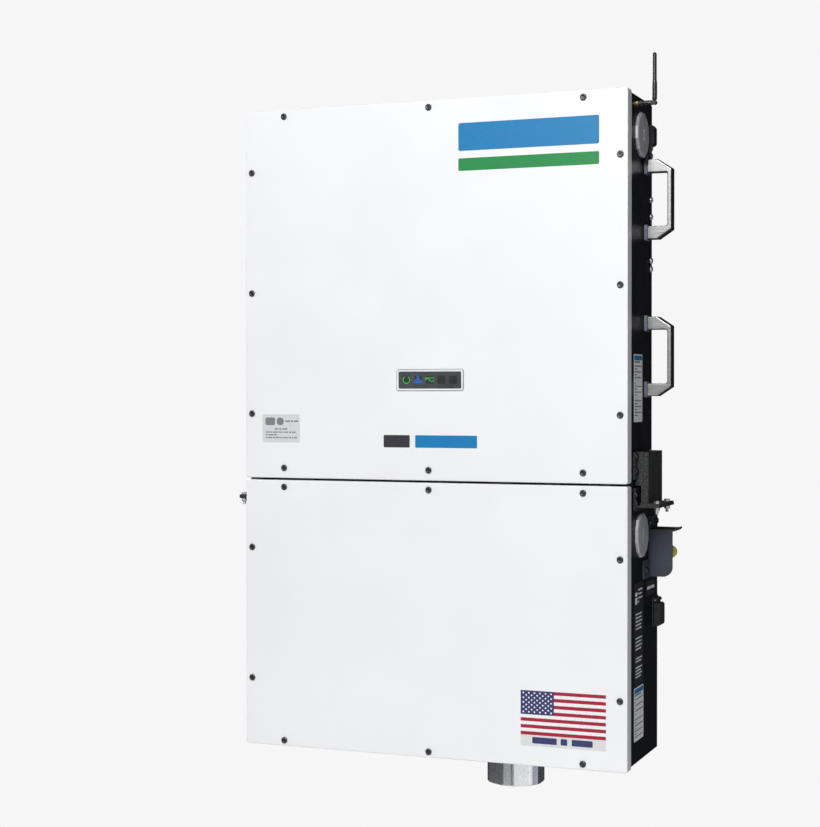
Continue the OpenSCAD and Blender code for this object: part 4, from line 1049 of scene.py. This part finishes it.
# ---------------------------------------------------------------- nodes kept as they are
KEPT = {"power_head_gasket": "gasket", "wiring_box_gasket": "gasket", "indicator_leds": "glow_green",
        "switch_hinge_pin": "bright_screw", "disconnect_shaft": "bright_screw"}
for node, finish in KEPT.items():
    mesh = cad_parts[node].data
    mesh.materials.clear()
    mesh.materials.append(MAT[finish])

# ---------------------------------------------------------------- floor and light
FLOOR_Z = BOTTOM_Z - 0.45


def studio_material(name, value):
    return Nodes(name).skin((value,) * 3, 0.012, (2.0, 2.0), (0.4, 0.6), (6.0,), (0.75, 0.85))


def make_floor():
    bm = bmesh.new()
    steps = 96
    rim = []
    for radius, drop in ((1.15, 0.0), (1.152, 0.002), (1.152, 0.02)):
        rim.append([bm.verts.new((radius * math.cos(2 * math.pi * i / steps),
                                  radius * math.sin(2 * math.pi * i / steps) - 0.25, FLOOR_Z - drop))
                    for i in range(steps)])
    bm.faces.new(rim[0])
    for a, b in zip(rim, rim[1:]):
        for i in range(steps):
            j = (i + 1) % steps
            bm.faces.new((a[i], b[i], b[j], a[j]))
    mesh = bpy.data.meshes.new("floor")
    bm.to_mesh(mesh)
    bm.free()
    floor = bpy.data.objects.new("floor", mesh)
    mesh.materials.append(studio_material("studio_floor", 0.86))
    bpy.context.scene.collection.objects.link(floor)


def area_light(name, place, target, size, power, colour=(1.0, 1.0, 1.0)):
    data = bpy.data.lights.new(name, "AREA")
    data.shape = "RECTANGLE"
    data.size, data.size_y = size
    data.energy = power
    data.color = colour
    lamp = bpy.data.objects.new(name, data)
    lamp.location = place
    lamp.visible_camera = False
    lamp.rotation_mode = "QUATERNION"
    lamp.rotation_quaternion = (Vector(target) - Vector(place)).to_track_quat("-Z", "Y")
    bpy.context.scene.collection.objects.link(lamp)


def make_world():
    world = bpy.data.worlds.new("studio")
    world.use_nodes = True
    tree = world.node_tree
    tree.nodes.clear()
    out = tree.nodes.new("ShaderNodeOutputWorld")
    mix = tree.nodes.new("ShaderNodeMixShader")
    seen = tree.nodes.new("ShaderNodeBackground")
    seen.inputs["Color"].default_value = (0.924, 0.924, 0.924, 1.0)
    soft = tree.nodes.new("ShaderNodeBackground")
    soft.inputs["Color"].default_value = (0.055, 0.056, 0.062, 1.0)
    path = tree.nodes.new("ShaderNodeLightPath")
    tree.links.new(path.outputs["Is Camera Ray"], mix.inputs[0])
    tree.links.new(soft.outputs[0], mix.inputs[1])
    tree.links.new(seen.outputs[0], mix.inputs[2])
    tree.links.new(mix.outputs[0], out.inputs["Surface"])
    bpy.context.scene.world = world


make_floor()
make_world()
CENTRE = P(0, 0, 520)
area_light("key", (0.6, -3.8, 1.8), CENTRE + Vector((0.12, 0.0, 0.2)), (1.7, 1.7), 166.0)
area_light("front_right", (2.3, -3.6, 0.2), P(200, 0, 400), (0.8, 1.2), 6.0)
area_light("side", (2.9, -1.5, -1.1), CENTRE, (0.9, 1.4), 5.0, (0.93, 0.94, 1.0))
area_light("facet_front", (-0.41, -2.29, -1.23), P(107, 100, -20), (0.35, 0.7), 0.6)
area_light("facet_right", (1.70, -1.67, -1.23), P(107, 100, -20), (0.5, 0.8), 2.2)
area_light("facet_rear", (2.22, 0.47, -1.23), P(107, 100, -20), (0.5, 0.8), 1.1, (0.85, 0.88, 1.0))
area_light("left", (-3.2, -0.8, 0.6), CENTRE, (1.6, 1.6), 21.0)
area_light("back", (-3.0, 2.4, 1.3), CENTRE, (1.8, 1.8), 80.0)
area_light("top", (0.1, -0.5, 2.6), CENTRE, (1.4, 1.0), 4.0)
bpy.context.scene.view_settings.view_transform = "Standard"
bpy.context.scene.view_settings.look = "None"
